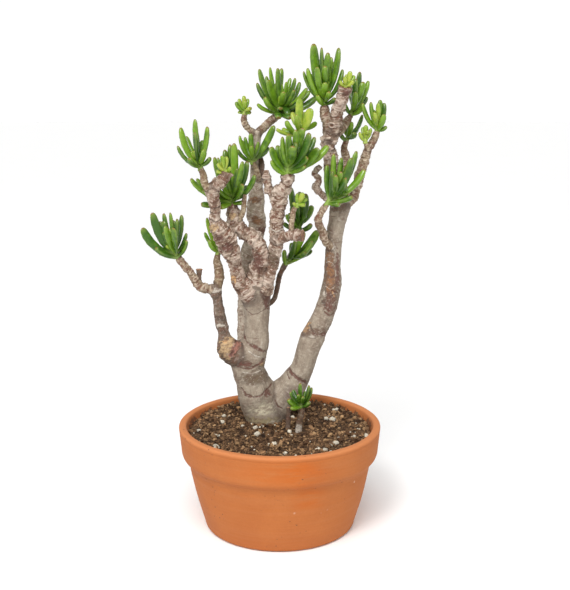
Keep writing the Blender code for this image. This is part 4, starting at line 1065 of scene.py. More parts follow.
def marked(name, points, facing):
    """Relief and stain of this stem's own patches and line scars, on its front. A patch is an oval whose edge
    a ripple wears away; a line scar is all that lies within its half width of its path."""
    relief = np.zeros(points.shape[:-1])
    stain = np.zeros((*points.shape[:-1], 4))
    front = smooth(0.35, -0.1, facing)
    x, z = points[..., 0], points[..., 2]
    worn = 0.30 * ripple(points, 5.0, 31) + 0.22 * ripple(points, 2.2, 32)

    def add(mask, kind):
        colour, height, _ = MARK_KINDS[kind]
        relief[...] += mask * height
        stain[..., :3] = stain[..., :3] * (1 - mask[..., None]) + np.array(colour) * mask[..., None]
        stain[..., 3] = np.maximum(stain[..., 3], mask)

    for stem, px, pz, half_wide, half_tall, lean, kind in PATCHES:
        if stem != name:
            continue
        c, s = math.cos(math.radians(lean)), math.sin(math.radians(lean))
        u = ((x - px) * c + (z - pz) * s) / half_wide
        v = ((z - pz) * c - (x - px) * s) / half_tall
        soft = MARK_KINDS[kind][2]
        add(front * smooth(1.0 + soft, 1.0 - soft, np.hypot(u, v) + worn), kind)
    for stem, kind, half, path in SCARS:
        if stem != name:
            continue
        path = np.array(path, float)
        a, b = path[:-1], path[1:]
        ways = b - a
        spot = np.stack([x, z], axis=-1)[..., None, :]
        share = np.clip(((spot - a) * ways).sum(-1) / (ways**2).sum(-1), 0.0, 1.0)
        away = np.linalg.norm(spot - a - share[..., None] * ways, axis=-1).min(axis=-1)
        uneven = 0.9 + 0.55 * ripple(points, 9.0, 33)
        add(front * smooth(1.6, 0.5, away / (half * np.clip(uneven, 0.25, 2.0)) + 0.9 * worn), kind)
    return relief, stain


def seed_of(name):
    """A seed of the name's own, so that a piece keeps its shape when others change."""
    return sum(map(ord, name))


def webbed(points, ways, name, parent, knots):
    """Lifts the points toward the stem's kin and returns the strength of the painted shade in the crease
    between them at each point.
    The lift is (reach - gap)^2 / (4 reach) where the gap to the kin is less than the reach."""
    crease = np.zeros(points.shape[:-1])
    flat = points.reshape(-1, 3)
    for theirs, reach in kin_of(name, parent, knots):
        apart = gap_to(flat, theirs).reshape(crease.shape)
        lift = np.where(apart < reach, (reach - np.clip(apart, 0.0, reach)) ** 2 / (4 * reach), 0.0)
        lift *= smooth(-1.6 * reach, 0.0, apart)
        points += lift[..., None] * ways
        crease = np.maximum(crease, bell(np.maximum(apart - 0.17 * reach, 0.0) / (0.10 * reach + 0.3)))
    return crease


def closed(values):
    """The values of all points and then of the two poles, each the mean of its ring."""
    ends = np.stack([values[0].mean(axis=0), values[-1].mean(axis=0)])
    return np.concatenate([values.reshape(-1, values.shape[-1]), ends])


SLICED_WOOD = (0.40, 0.21, 0.12)


def stem_surface(name, parent, knots, row_gap, column_gap, relief_scale):
    """The stem as rings carried along its smooth centre line. A ring's point at the angle t from the front is
    centre + (radius + relief) * (sin t * right - cos t * back), with right and back square to the line."""
    look, ring_gap, plain, cut = STEM_DRESS[name]
    _, _, _, _, ring_depth, scar_height, uneven = LOOKS[look]
    draw = np.random.default_rng(seed_of(name))
    knots = np.array(knots, float)
    at, curve, along = with_ends(*smooth_line(knots, row_gap), cut)
    centre, radius = curve[:, :3], curve[:, 3]
    right = unit(np.cross((0.0, 1.0, 0.0), along))
    back = np.cross(along, right)
    around = int(np.clip(2 * math.pi * radius.max() / column_gap, 20, 136)) // 2 * 2
    turn = full_turn(around)
    ways = np.sin(turn)[None, :, None] * right[:, None] - np.cos(turn)[None, :, None] * back[:, None]
    oval = 1.0 + 0.035 * np.cos(2 * turn[None] + 0.05 * at[:, None] + draw.uniform(0, 6.28))
    oval += 0.02 * np.cos(3 * turn[None] - 0.04 * at[:, None] + draw.uniform(0, 6.28))
    points = centre[:, None] + radius[:, None, None] * oval[..., None] * ways
    # What the surface carries: rings and scars, the wood's own lumps, and this stem's marks
    relief, ring, scar, rim = leaf_rings(
        draw, at, turn, radius, ring_gap, plain, ring_depth, scar_height, smooth(-0.05, 0.6, ways[..., 1]))
    thin = np.clip(radius / 7.0, 0.35, 1.0)[:, None]
    lumps = (0.9 * ripple(points, 17.0, 41) + 0.8 * ripple(points, 7.5, 42)
             + 0.45 * ripple(points, 3.4, 43) + 0.22 * ripple(points, 1.7, 44))
    marks, stain = marked(name, points, ways[..., 1])
    relief += uneven * thin * lumps
    relief += marks * thin
    # Past the two ends the relief dies out with the radius
    ends = np.minimum(1.0, radius / np.interp(at, at[[0, -1]], knots[[0, -1], 3]))[:, None]
    points += (relief_scale * relief * ends)[..., None] * ways
    crease = webbed(points, ways, name, parent, knots)
    top = 0.1 if cut == "round" else -0.05
    poles = np.stack([centre[0] - along[0] * 0.06 * radius[0], centre[-1] + along[-1] * top * radius[-1]])
    if cut != "round":
        sliced = slice(1 - len(END_SHAPES[cut]), None)
        stain[sliced] = (*SLICED_WOOD, 1.0)
    # Where the bark's own pattern runs: round the stem at its mean radius, and along it
    mean = float(np.mean(radius))
    level = np.broadcast_to(mean * np.stack([np.sin(turn), np.cos(turn)], axis=-1), (*ring.shape, 2))
    grain = np.concatenate([level, np.broadcast_to(at[:, None, None], (*ring.shape, 1))], axis=-1)
    quads, caps = tube_faces(len(at), around)
    # The dress layer's last channel carries the painted shade of the forks' creases; the relief goes to the
    # bark as painted shade in hollows and painted highlight on rises
    layers = (np.stack([ring, scar, rim, crease], axis=-1), stain, grain, relief[..., None])
    everything = np.concatenate([points.reshape(-1, 3), poles])
    return to_row(everything), quads, caps, *map(closed, layers)


# Colours of bark: rust and scabs, painted shade in hollows, fallen leaves' scars and rings, painted shade in
# the creases of forks, and the dark of a stain
RUST_BROWN = (0.165, 0.078, 0.050)
HOLLOW_PAINTED_SHADE = (0.115, 0.062, 0.042)
SCAR_BROWN = (0.165, 0.080, 0.050)
RING_BROWN = (0.120, 0.064, 0.045)
FORK_PAINTED_SHADE = (0.085, 0.058, 0.045)
STAIN_BROWN = (0.095, 0.052, 0.036)


def bark(name, look):
    """Bark in the stem's own run: slow blotches, streaks along it, hoops round it, pale flakes, rusty scabs,
    painted shade in the hollows of its relief and a painted highlight on its rises, and then the rings, scars
    and marks that its surface carries, with painted shade in the creases of its forks. Lengths in the run are
    in millimetres."""
    pale, dark, rust_share, flake_share, _, _, uneven = LOOKS[look]
    depth = min(1.0, uneven / 0.5)
    n = Nodes(name)
    run = n.layer("grain")["Vector"]
    blotch = n.noise(n.stretch(run, (0.10, 0.10, 0.07)), 1.0, 5.0, 0.6, 0.3)
    streak = n.noise(n.stretch(run, (1.25, 1.25, 0.10)), 1.0, 3.0, 0.65)
    hoop = n.noise(n.stretch(run, (0.13, 0.13, 1.15)), 1.0, 3.0, 0.6)
    flake = n.noise(n.stretch(run, (0.30, 0.30, 0.44), (7.0, 3.0, 1.0)), 1.0, 6.0, 0.70)
    scab = n.noise(n.stretch(run, (0.17, 0.17, 0.27), (1.0, 9.0, 4.0)), 1.0, 6.0, 0.68)
    grit = n.noise(run, 1.9, 3.0, 0.6)
    white = tuple(min(0.78, 0.16 + 1.25 * c) for c in pale)
    deep = tint(dark, 0.62)
    colour = n.mix(n.span(blotch, 0.36, 0.62), dark, pale)
    colour = n.mix(n.span(streak, 0.42, 0.78, 0.0, 0.42), colour, deep)
    colour = n.mix(n.span(streak, 0.44, 0.22, 0.0, 0.30), colour, white)
    colour = n.mix(n.span(hoop, 0.52, 0.80, 0.0, 0.30), colour, deep)
    rusty = n.times(n.span(scab, 0.485, 0.565), rust_share * 1.7)
    colour = n.mix(rusty, colour, RUST_BROWN)
    pale_flake = n.times(n.span(flake, 0.535, 0.60), flake_share * 1.5)
    colour = n.mix(pale_flake, colour, white)
    colour = n.mix(n.span(grit, 0.58, 0.80, 0.0, 0.16 + 0.16 * depth), colour, deep)
    # Painted shade where the relief sinks, and a painted highlight where it rises
    relief = n.layer("painted_light_relief")["Fac"]
    colour = n.mix(n.span(relief, -0.05, -0.70, 0.0, 0.75 * depth), colour, HOLLOW_PAINTED_SHADE)
    colour = n.mix(n.span(relief, 0.35, 1.15, 0.0, 0.45 * depth), colour, white)
    dress = n.layer("dress")
    ring, scar, rim = n.channels(dress["Color"])
    worn = n.span(scab, 0.40, 0.58, 0.25, 1.0)
    chalk = n.span(flake, 0.44, 0.60, 0.15, 0.75)
    colour = n.mix(n.times(rim, chalk), colour, white)
    colour = n.mix(n.times(scar, n.times(worn, 0.85)), colour, SCAR_BROWN)
    colour = n.mix(n.times(ring, n.times(worn, 0.85)), colour, RING_BROWN)
    # Painted shade in the crease where a stem meets its kin
    crease = n.times(dress["Alpha"], n.span(grit, 0.25, 0.6, 0.5, 0.95))
    colour = n.mix(n.times(crease, 0.7), colour, FORK_PAINTED_SHADE)
    stain = n.layer("stain")
    tinted = n.mix(n.span(scab, 0.42, 0.60, 0.0, 0.65), stain["Color"], STAIN_BROWN)
    tinted = n.mix(n.span(flake, 0.54, 0.64, 0.0, 0.38), tinted, white)
    tinted = n.mix(n.span(grit, 0.46, 0.72, 0.0, 0.50), tinted, deep)
    colour = n.mix(n.times(stain["Alpha"], 0.92), colour, tinted)
    normal = n.bump(streak, 0.30, 0.0005)
    normal = n.bump(flake, 0.15 + 0.35 * depth, 0.0007, normal)
    normal = n.bump(grit, 0.15 + 0.25 * depth, 0.0003, normal)
    roughness = n.span(blotch, 0.3, 0.7, 0.88, 0.72)
    return n.finish(colour, roughness, normal, Specular_IOR_Level=0.28)


# ---- leaves --------------------------------------------------------------------------------------

# Along a finger leaf: how far from its foot, and its half width as a share of its width
LEAF_PROFILE = np.array((
    (0.0, 0.25), (0.11, 0.325), (0.27, 0.43), (0.46, 0.51), (0.66, 0.55), (0.83, 0.525), (0.93, 0.43),
    (0.98, 0.295), (1.0, 0.13)))
LEAF_AROUND = 10
# Where a leaf's curve bends, as shares of its reach outwards and upwards
LEAF_BEND_OUT, LEAF_BEND_UP = 0.72, 0.27
# The width in millimetres at which leaves are thin and troughed; narrower ones are round
BROAD_LEAF = 7.9

# How yellow a tuft is, from 0 for deep green to 1; the others take PLAIN_TONE
TUFT_TONES = {
    "back_left_leaves": 0.85, "front_stub_leaves": 0.95, "top_stub_leaves": 0.95, "thin_shoot_leaves": 0.8,
    "right_twig_leaves": 0.9, "right_limb_leaves": 0.45, "centre_top_leaves": 0.7, "side_shoot_leaves": 0.45,
    "young_leaves": 0.12, "side_arm_leaves": 0.06, "middle_leaves": 0.34, "inner_leaves": 0.3,
    "hidden_high_leaves": 0.12, "hidden_low_leaves": 0.15,
}
PLAIN_TONE = 0.28
# The young tuft has one bud leaf and slim leaves; the others have this many buds
BUD_LEAVES, YOUNG_BUD_LEAVES = 4, 1
YOUNG_WIDTH = 0.86
# A tuft with more leaves than this gets inner ones too
FULL_TUFT = 11
SHOOT_AROUND = 12


def leaf_surfaces(foot, tip, width, shoot, draw):
    """Many finger leaves at once. A leaf's middle is the curve (1-p)^2 foot + 2p(1-p) bend + p^2 tip. Its
    section is an oval, flatter on the side that faces the shoot, and its half width follows LEAF_PROFILE; the
    last rings close in on a small dimple. Broad leaves are thinner and have a shallow trough."""
    reach = tip - foot
    bend = foot + reach * (LEAF_BEND_OUT, LEAF_BEND_OUT, LEAF_BEND_UP)
    p = LEAF_PROFILE[:, 0][None, :, None]
    q = LEAF_PROFILE[:, 1][None, :, None, None]
    f, b, t = foot[:, None], bend[:, None], tip[:, None]
    middle = (1 - p) ** 2 * f + 2 * p * (1 - p) * b + p**2 * t
    along = unit((1 - p) * (b - f) + p * (t - b))
    outward = unit(reach - (reach @ shoot)[:, None] * shoot)[:, None]
    broad = smooth(BROAD_LEAF - 1.9, BROAD_LEAF + 0.3, width)[:, None, None, None]
    faces_to = 0.75 * shoot - 0.65 * outward + (0.35 + 1.3 * broad[..., 0]) * np.array((0.0, -1.0, 0.0))
    normal = unit(faces_to - (faces_to * along).sum(-1, keepdims=True) * along)
    side = np.cross(normal, along)
    length = np.linalg.norm(reach, axis=-1)[:, None, None]
    middle = middle + side * np.sin(math.pi * p) * length * draw.normal(0.0, 0.022, (len(foot), 1, 1))
    turn = full_turn(LEAF_AROUND)
    across, up = np.cos(turn)[None, None, :, None], np.sin(turn)[None, None, :, None]
    uneven = 1.0 - 0.08 * broad + 0.07 * draw.normal(size=(len(foot), 1, 1, 1))
    wide = 1.13 * width[:, None, None, None] * uneven
    top = 0.66 - 0.24 * broad
    under = 0.84 - 0.20 * broad
    trough = (0.05 + 0.22 * broad) * smooth(0.3, 0.75, p)[..., None] * bell(across / 0.5)
    height = np.where(up > 0, up * (top - trough), up * under)
    points = middle[:, :, None] + q * wide * (across * side[:, :, None] + height * normal[:, :, None])
    points = points + 0.10 * ripple(points, 9.0, 51)[..., None] * normal[:, :, None]
    dimple = middle[:, -1] - along[:, -1] * 0.05 * width[:, None]
    start = middle[:, 0] - along[:, 0] * 0.05 * width[:, None]
    edge = np.broadcast_to(bell(np.sin(turn) / 0.22), points.shape[:-1])
    return points, start, dimple, edge


def square_to(shoot):
    """Two unit vectors square to the shoot and to each other."""
    level = unit(np.cross(shoot, (0.3, 0.9, 0.1)))
    return level, np.cross(shoot, level)


def inner_leaves(draw, root, tip, tips, widths, tone):
    """The foot, tip, width and tone of leaves that fill a full tuft, each leaning between two given ones."""
    extra = len(tips) // 3 if len(tips) > FULL_TUFT else 0
    one, other = draw.integers(0, len(tips), (2, extra))
    between = draw.uniform(0.3, 0.7, (extra, 1)) * (tips[one] - tips[other]) + tips[other]
    pulled = tip + (between - tip) * draw.uniform(0.62, 0.86, (extra, 1))
    foot = root + draw.uniform(0.4, 1.0, (extra, 1)) * (tip - root)
    return foot, pulled, widths[one] * draw.uniform(0.85, 1.05, extra), tone[other] + 0.1


def bud_leaves(draw, tip, shoot, usual, buds):
    """The foot, tip, width and tone of small leaves that stand nearly straight up from the shoot's tip."""
    spin = np.arange(buds) * 2.4 + draw.uniform(0, 6.28)
    level, other = square_to(shoot)
    around = np.cos(spin)[:, None] * level + np.sin(spin)[:, None] * other
    lean = around * draw.uniform(0.25, 0.6, (buds, 1))
    small = min(9.0, 0.32 * usual)
    foot = np.repeat(tip[None] - shoot * 1.0, buds, axis=0)
    tips = foot + (shoot + lean) * (small * draw.uniform(0.7, 1.1, (buds, 1)))
    return foot, tips, np.full(buds, min(3.6, 0.42 * small + 0.6)), np.full(buds, 0.8)


def shoot_surface(root, tip, shoot, core):
    """The points and faces of the shoot itself, drawn from inside the stem's end to just past its tip."""
    rise = np.linalg.norm(tip - root)
    knots = np.array([
        (*(root - shoot * 1.5), core),
        (*root, core),
        (*(root + shoot * 0.6 * rise), 0.8 * core),
        (*tip, 0.5 * core),
    ])
    run, curve = smooth_line(knots, max(0.8, rise / 12))
    way = np.linspace(0.0, 2 * math.pi, SHOOT_AROUND, endpoint=False)
    level, other = square_to(shoot)
    ways = np.cos(way)[:, None] * level + np.sin(way)[:, None] * other
    knob = 1.0 + 0.10 * np.sin(run * 2.1)[:, None] + 0.07 * np.sin(2 * way)[None]
    points = curve[:, None, :3] + (curve[:, 3:4] * knob)[..., None] * ways
    ends = [curve[:1, :3], curve[-1:, :3] + shoot * 0.4]
    return np.concatenate([points.reshape(-1, 3), *ends]), *tube_faces(len(run), SHOOT_AROUND)


def tuft_mesh(name, stem_knots, shoot_tip, leaves):
    """One tuft: a tapering green shoot, its leaves from the lowest up, and small bud leaves round its tip."""
    draw = np.random.default_rng(seed_of(name))
    end = np.array(stem_knots[-1], float)
    root, tip = end[:3], np.array(shoot_tip, float)
    shoot = unit(tip - root)
    young = name == "young_leaves"
    own_tone = TUFT_TONES.get(name, PLAIN_TONE)
    given = np.array(leaves, float)
    share = np.linspace(0.1, 0.95, len(given))
    foot = root + share[:, None] * (tip - root)
    tips, widths = given[:, :3], given[:, 3] * (YOUNG_WIDTH if young else 1.0)
    tone = own_tone + draw.normal(0.0, 0.19, len(given)) + 0.12 * (share - 0.5)
    groups = [(foot, tips, widths, tone), inner_leaves(draw, root, tip, tips, widths, tone)]
    lengths = np.concatenate([np.linalg.norm(group[1] - group[0], axis=1) for group in groups])
    buds = YOUNG_BUD_LEAVES if young else BUD_LEAVES
    groups.append(bud_leaves(draw, tip, shoot, float(np.median(lengths)), buds))
    foot, tips, widths, tone = map(np.concatenate, zip(*groups))
    points, start, dimple, edge = leaf_surfaces(foot, tips, widths, shoot, draw)
    count, rows, around = points.shape[:3]
    each = rows * around + 2
    body = np.concatenate([points.reshape(count, -1, 3), start[:, None], dimple[:, None]], axis=1)
    along = np.concatenate([np.repeat(LEAF_PROFILE[:, 0], around), [0.0, 1.0]])
    along = np.broadcast_to(along, (count, each))
    edges = np.concatenate([edge.reshape(count, -1), np.zeros((count, 2))], axis=1)
    tones = np.broadcast_to(np.clip(tone, 0.0, 1.0)[:, None], along.shape)
    skin = np.stack([along, tones, edges, np.ones(along.shape)], axis=-1)
    quads, caps = tube_faces(rows, around)
    shift = (np.arange(count) * each)[:, None, None]
    stalk, stalk_quads, stalk_caps = shoot_surface(root, tip, shoot, min(2.7, end[3] + 0.4))
    return (
        to_row(np.concatenate([body.reshape(-1, 3), stalk])),
        np.concatenate([(quads[None] + shift).reshape(-1, 4), stalk_quads + count * each]),
        np.concatenate([(caps[None] + shift).reshape(-1, 3), stalk_caps + count * each]),
        np.concatenate([skin.reshape(-1, 4), np.tile((0.10, own_tone + 0.2, 0.0, 1.0), (len(stalk), 1))]),
    )


# Greens of a leaf beside the settings' own: the yellowest tone, the foot, the top, the painted highlight along
# the sides and the flecks
YELLOW_GREEN = (0.36, 0.42, 0.055)
FOOT_GREEN = (0.30, 0.40, 0.10)
TOP_GREEN = (0.25, 0.33, 0.05)
SIDE_HIGHLIGHT_GREEN = (0.30, 0.36, 0.07)
FLECK_GREEN = (0.22, 0.34, 0.09)


def leaf_skin(deep, bright, tip_blush):
    """Waxy leaf: green by each leaf's tone, paler at its foot, with a painted highlight along its sides, faint
    flecks and a dry dot on its tip.
    """
    n = Nodes("leaf_skin")
    place = n.place()
    along, tone, edge = n.channels(n.layer("skin")["Color"])
    mottle = n.noise(place, 150.0, 4.0, 0.6)
    fine = n.noise(place, 900.0, 2.0, 0.5)
    shade = n.plus(tone, n.span(mottle, 0.3, 0.7, -0.16, 0.16))
    colour = n.mix(n.span(shade, 0.0, 0.62), deep, bright)
    colour = n.mix(n.span(shade, 0.6, 1.1), colour, YELLOW_GREEN)
    colour = n.mix(n.span(along, 0.34, 0.0, 0.0, 0.72), colour, FOOT_GREEN)
    colour = n.mix(n.span(along, 0.84, 0.98, 0.0, 0.35), colour, TOP_GREEN)
    # A painted highlight: paler green along the leaf's two sides, from its middle toward its tip
    colour = n.mix(n.times(edge, n.span(along, 0.3, 0.8, 0.0, 0.30)), colour, SIDE_HIGHLIGHT_GREEN)
    colour = n.mix(n.span(fine, 0.62, 0.8, 0.0, 0.25), colour, FLECK_GREEN)
    blush = n.times(n.span(along, 0.955, 0.998), n.span(mottle, 0.38, 0.56, 0.2, 0.9))
    colour = n.mix(n.times(blush, 0.7), colour, tip_blush)
    normal = n.bump(mottle, 0.22, 0.0010)
    normal = n.bump(fine, 0.10, 0.0002, normal)
    roughness = n.span(mottle, 0.3, 0.75, 0.16, 0.28)
    return n.finish(
        colour, roughness, normal, Specular_IOR_Level=0.42,
        Subsurface_Weight=0.10, Subsurface_Radius=(0.6, 1.0, 0.2), Subsurface_Scale=0.0015)


# ---- sizes and colours ---------------------------------------------------------------------------


def colour_property(name, description, default):
    return FloatVectorProperty(
        name=name, description=description, default=default, subtype="COLOR", size=3, min=0.0, max=1.0)


class JadePanSettings(PropertyGroup):
    relief: FloatProperty(
        name="Relief", description="Strength of the turning marks and waver", default=1.0, min=0.0, max=3.0,
        subtype="FACTOR")
    around: IntProperty(name="Steps", description="Steps round the pan", default=288, min=32, max=720)
    pale: colour_property("Clay", "The fired clay's main colour", (0.452, 0.145, 0.039))
    deep: colour_property("Deep clay", "The clay where it fired darker", (0.405, 0.121, 0.028))
    dust: colour_property("Bloom", "The pale bloom on the turning marks", (0.490, 0.192, 0.074))


class JadeSoilSettings(PropertyGroup):
    roughness: FloatProperty(
        name="Clod height", description="Height of the bed's clods", default=0.0010, min=0.0, max=0.004,
        unit="LENGTH")
    crumbs: IntProperty(name="Crumbs", description="Loose crumbs of earth", default=2600, min=0, max=6000)
    fibres: IntProperty(
        name="Fibres", description="Short fibres and chips of bark", default=1150, min=0, max=2000)
    stones: IntProperty(name="White grains", description="White puffed grains", default=105, min=0, max=600)
    dark: colour_property("Dark earth", "The darkest crumbs", (0.042, 0.019, 0.009))
    pale: colour_property("Pale earth", "The palest crumbs", (0.400, 0.225, 0.112))
    white: colour_property("White grains", "The puffed grains' colour", (0.78, 0.70, 0.56))


class JadeStemSettings(PropertyGroup):
    row_gap: FloatProperty(
        name="Ring spacing", description="Gap between a stem's rings", default=0.00055, min=0.0003, max=0.004,
        unit="LENGTH")
    column_gap: FloatProperty(
        name="Column spacing", description="Gap between the points of a ring", default=0.00078, min=0.0004,
        max=0.005, unit="LENGTH")
    relief: FloatProperty(
        name="Relief", description="Strength of rings, scars and lumps", default=1.0, min=0.0, max=2.0,
        subtype="FACTOR")


class JadeLeafSettings(PropertyGroup):
    deep: colour_property("Deep green", "The oldest leaves", (0.036, 0.100, 0.008))
    bright: colour_property("Bright green", "The middle leaves", (0.150, 0.285, 0.014))
    blush: colour_property("Tip", "The dry dot on a leaf's tip", (0.27, 0.085, 0.035))


class JadeStageSettings(PropertyGroup):
    floor: colour_property("Floor", "The pale floor", (0.965, 0.965, 0.96))
    sky: FloatProperty(name="Sky", description="Strength of the even light", default=1.04, min=0.0, max=3.0)
    key: FloatProperty(
        name="Key light", description="Power of the main soft light", default=11.0, min=0.0, max=500.0,
        unit="POWER")
    zenith: FloatProperty(
        name="Zenith", description="The even light overhead, as a share of the sky's", default=0.40, min=0.0,
        max=1.0, subtype="FACTOR")
    sun: FloatProperty(
        name="Soft sun", description="Strength of the wide light from above", default=2.0, min=0.0, max=20.0)
    lens: FloatProperty(
        name="Lens", description="The camera's focal length in mm", default=59.74, min=10.0, max=300.0)


# ---- operators -----------------------------------------------------------------------------------


class JADE_OT_pan(Operator):
    """Turn the clay pan with its banded rim"""

    bl_idname = "jade.pan"
    bl_label = "Clay Pan"

    def execute(self, context):
        settings = context.scene.jade_pan
        points = pan_surface(settings.around, settings.relief) + (AXIS_X, AXIS_Y, 0.0)
        none = np.empty((0, 3), int)
        faces = ring_faces(*points.shape[:2])
        pan = make_piece("clay_pan", points, faces, none, "terracotta", ("terracotta_pot",))
        pan.data.materials.append(clay(tuple(settings.pale), tuple(settings.deep), tuple(settings.dust)))
        return {"FINISHED"}


BED_RINGS, BED_AROUND = 96, 300
FIBRE_DARK, FIBRE_PALE = (0.085, 0.040, 0.018), (0.52, 0.32, 0.16)


def soil_bed(roughness, dark, pale):
    """The bed of earth, closed to one point on the pan's floor and one on its crown."""
    points = bed_surface(BED_RINGS, BED_AROUND, roughness)
    ends = np.stack([(0.0, 0.0, SOIL_LOW[2]), points[-1].mean(axis=0)])
    everything = np.concatenate([points.reshape(-1, 3), ends]) + (AXIS_X, AXIS_Y, 0.0)
    bed = make_piece("soil_bed", everything, *tube_faces(*points.shape[:2]), "soil", ("potting_soil",))
    paint(bed, "tone", "FLOAT", smooth(-1.4, 1.4, ripple(everything, 0.009, 24)))
    bed.data.materials.append(earth("packed_earth", tint(dark, 0.5), tint(pale, 0.45)))


class JADE_OT_soil(Operator):
    """Fill the pan: a bed of earth with crumbs, fibres and white grains scattered over it"""

    bl_idname = "jade.soil"
    bl_label = "Soil"

    def execute(self, context):
        settings = context.scene.jade_soil
        dark, pale, white = tuple(settings.dark), tuple(settings.pale), tuple(settings.white)
        soil_bed(settings.roughness, dark, pale)
        draw = np.random.default_rng(61)
        rooted = [(x * MM, y * MM, (r - 1.0) * MM) for x, y, r in ROOTED]
        none = np.empty((0, 4), int)
        # Name, count, sizes, how few are big, least and most drawn out, unevenness, how sunk, fine, finish
        kinds = (
            ("soil_crumbs", settings.crumbs, (0.0010, 0.0052), 2.3, (0.38, 1.30), 0.34, 0.42, False,
             earth("loose_earth", dark, pale)),
            ("bark_fibres", settings.fibres, (0.0018, 0.0065), 1.6, (0.14, 1.35), 0.20, 0.30, False,
             earth("bark_fibre", FIBRE_DARK, FIBRE_PALE)),
            ("white_grains", settings.stones, (0.0012, 0.0068), 1.7, (0.65, 1.15), 0.24, 0.36, True,
             earth("puffed_stone", tint(white, 0.78), white)),
        )
        for seed, (name, count, sizes, lean, shape, uneven, sunk, fine, finish) in enumerate(kinds, 62):
            places = scattered(draw, count, rooted)
            size = sizes[0] + (sizes[1] - sizes[0]) * draw.uniform(size=count) ** lean
            points, faces, tone = grains(seed, places, size, shape, uneven, sunk, fine)
            piece = make_piece(name, points + (AXIS_X, AXIS_Y, 0.0), none, faces, "soil", smooth_faces=fine)
            paint(piece, "tone", "FLOAT", tone)
            piece.data.materials.append(finish)
        return {"FINISHED"}


class JADE_OT_stems(Operator):
    """Grow the trunks, branches and twigs with their bark"""

    bl_idname = "jade.stems"
    bl_label = "Stems"

    def execute(self, context):
        settings = context.scene.jade_stems
        finishes = {}
        for name, parent, knots in STEMS:
            points, quads, caps, dress, stain, grain, painted_light_relief = stem_surface(
                name, parent, knots, settings.row_gap / MM, settings.column_gap / MM, settings.relief)
            slot = STEM_SLOTS.get(name, "bark")
            stem = make_piece(f"grown_{name}", points, quads, caps, slot, (name,))
            paint(stem, "dress", "FLOAT_COLOR", dress)
            paint(stem, "stain", "FLOAT_COLOR", stain)
            paint(stem, "grain", "FLOAT_VECTOR", grain)
            # The relief, for the bark's painted shade in hollows and painted highlight on rises
            paint(stem, "painted_light_relief", "FLOAT", painted_light_relief)
            look = STEM_DRESS[name][0]
            if look not in finishes:
                finishes[look] = bark(f"{look}_bark", look)
            stem.data.materials.append(finishes[look])
        return {"FINISHED"}


class JADE_OT_leaves(Operator):
    """Set a tuft of finger leaves on every growing tip"""

    bl_idname = "jade.leaves"
    bl_label = "Leaves"

    def execute(self, context):
        settings = context.scene.jade_leaves
        stems = {name: knots for name, _, knots in STEMS}
        finish = leaf_skin(tuple(settings.deep), tuple(settings.bright), tuple(settings.blush))
        for name, stem, shoot_tip, leaves in TUFTS:
            points, quads, caps, skin = tuft_mesh(name, stems[stem], shoot_tip, leaves)
            tuft = make_piece(f"grown_{name}", points, quads, caps, "leaf", (name,))
            paint(tuft, "skin", "FLOAT_COLOR", skin)
            tuft.data.materials.append(finish)
        return {"FINISHED"}


def floor_disc():
    """The points and faces of a wide disc whose rings grow with the square of their number."""
    reach = FLOOR_NEAR + FLOOR_REACH * np.linspace(0.0, 1.0, FLOOR_RINGS)[::-1] ** 2
    rings = revolved(reach, np.full(FLOOR_RINGS, -FLOOR_GAP), round_ways(full_turn(FLOOR_AROUND)))
    points = np.concatenate([rings.reshape(-1, 3), [[0.0, 0.0, -FLOOR_GAP]]])
    quads, caps = tube_faces(FLOOR_RINGS, FLOOR_AROUND)
    # Only the innermost ring is closed, to the disc's middle
    return points, quads, np.minimum(caps[FLOOR_AROUND:], len(points) - 1)


def floor_paper(base):
    """Plain matt paper with a faint slow grain."""
    n = Nodes("floor_paper")
    grain = n.noise(n.place(), 6.0, 3.0)
    colour = n.mix(n.span(grain, 0.3, 0.7, 0.0, 0.5), base, tint(base, 0.985))
    normal = n.bump(grain, 0.02, 0.001)
    return n.finish(colour, n.span(grain, 0.3, 0.7, 0.9, 1.0), normal, Specular_IOR_Level=0.1)


def even_sky(strength, zenith):
    """White near the horizon and dimmer overhead, where the soft sun takes over."""
    world = bpy.data.worlds.new("even_sky")
    world.use_nodes = True
    links, nodes = world.node_tree.links, world.node_tree.nodes
    sky = nodes["Background"]
    sky.inputs["Strength"].default_value = strength
    way = nodes.new("ShaderNodeTexCoord")
    split = nodes.new("ShaderNodeSeparateXYZ")
    ramp = nodes.new("ShaderNodeMapRange")
    ramp.interpolation_type = "SMOOTHSTEP"
    for name, number in zip(("From Min", "From Max", "To Min", "To Max"), (*SKY_EDGES, 1.0, zenith)):
        ramp.inputs[name].default_value = number
    links.new(way.outputs["Generated"], split.inputs[0])
    links.new(split.outputs["Z"], ramp.inputs["Value"])
    links.new(ramp.outputs["Result"], sky.inputs["Color"])
    return world


def key_light(power):
    """A disc of soft light that faces the middle of the plant."""
    lamp = bpy.data.lights.new("key_light", "AREA")
    lamp.shape = "DISK"
    lamp.size = KEY_SIZE
    lamp.energy = power
    light = add_object("key_light", lamp)
    light.location = (AXIS_X + KEY_PLACE[0], AXIS_Y + KEY_PLACE[1], KEY_PLACE[2])
    x, y, z = np.array(light.location) - (AXIS_X, AXIS_Y, KEY_AIM)
    light.rotation_euler = (math.atan2(math.hypot(x, y), z), 0.0, math.atan2(x, -y))


def soft_sun(strength):
    """A wide sun from high on the left."""
    lamp = bpy.data.lights.new("soft_sun", "SUN")
    lamp.energy = strength
    lamp.angle = math.radians(SUN_SPREAD)
    add_object("soft_sun", lamp).rotation_euler = (math.radians(SUN_LEAN), 0.0, math.radians(SUN_TURN))


def eye_camera(lens):
    eye = bpy.data.cameras.new("eye")
    eye.sensor_width = 36.0
    eye.lens = lens
    eye.clip_start = 0.05
    eye.clip_end = 60.0
    camera = add_object("eye", eye)
    camera.location = (AXIS_X + EYE_ASIDE, AXIS_Y - EYE_BACK, EYE_HEIGHT)
    camera.rotation_euler = (math.radians(90.0 - EYE_DOWN), 0.0, 0.0)
    return camera


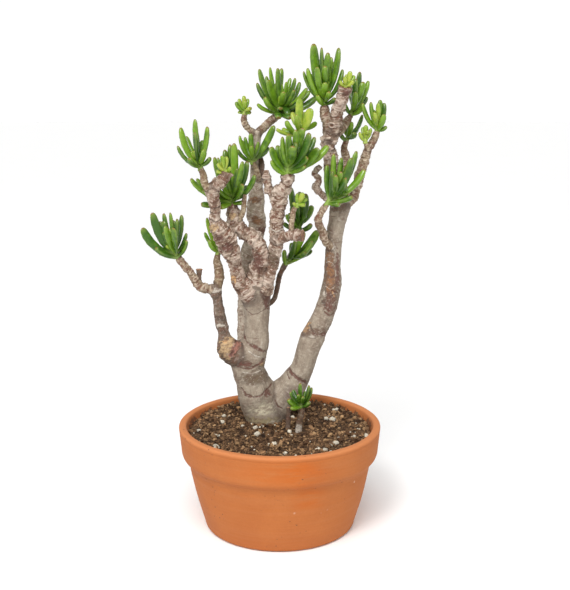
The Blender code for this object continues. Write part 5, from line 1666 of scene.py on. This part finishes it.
class JADE_OT_stage(Operator):
    """Lay the pale floor, hang the soft lights and set the camera"""

    bl_idname = "jade.stage"
    bl_label = "Stage"

    def execute(self, context):
        settings = context.scene.jade_stage
        floor = make_mesh("pale_floor", *floor_disc(), smooth_faces=False)
        floor.data.materials.append(floor_paper(tuple(settings.floor)))
        context.scene.world = even_sky(settings.sky, settings.zenith)
        key_light(settings.key)
        soft_sun(settings.sun)
        context.scene.camera = eye_camera(settings.lens)
        context.scene.view_settings.view_transform = "Standard"
        return {"FINISHED"}


class JADE_PT_panel(Panel):
    """The plant's pieces, in the order in which they are made"""

    bl_idname = "JADE_PT_panel"
    bl_label = "Jade Plant"
    bl_space_type = "VIEW_3D"
    bl_region_type = "UI"
    bl_category = "Jade Plant"

    def draw(self, context):
        for group, operator in MAKERS:
            box = self.layout.box()
            box.operator(operator.bl_idname)
            settings = getattr(context.scene, group)
            for name in settings.bl_rna.properties.keys():
                if name not in ("rna_type", "name"):
                    box.prop(settings, name)


SETTINGS = {
    "jade_pan": JadePanSettings,
    "jade_soil": JadeSoilSettings,
    "jade_stems": JadeStemSettings,
    "jade_leaves": JadeLeafSettings,
    "jade_stage": JadeStageSettings,
}
MAKERS = (
    ("jade_pan", JADE_OT_pan),
    ("jade_soil", JADE_OT_soil),
    ("jade_stems", JADE_OT_stems),
    ("jade_leaves", JADE_OT_leaves),
    ("jade_stage", JADE_OT_stage),
)


def register():
    for name, group in SETTINGS.items():
        register_class(group)
        setattr(bpy.types.Scene, name, PointerProperty(type=group))
    for _, operator in MAKERS:
        register_class(operator)
    register_class(JADE_PT_panel)


def unregister():
    unregister_class(JADE_PT_panel)
    for _, operator in reversed(MAKERS):
        unregister_class(operator)
    for name, group in reversed(SETTINGS.items()):
        delattr(bpy.types.Scene, name)
        unregister_class(group)


def main():
    register()
    bpy.ops.jade.pan()
    bpy.ops.jade.soil()
    bpy.ops.jade.stems()
    bpy.ops.jade.leaves()
    bpy.ops.jade.stage()


if __name__ == "__main__":
    main()
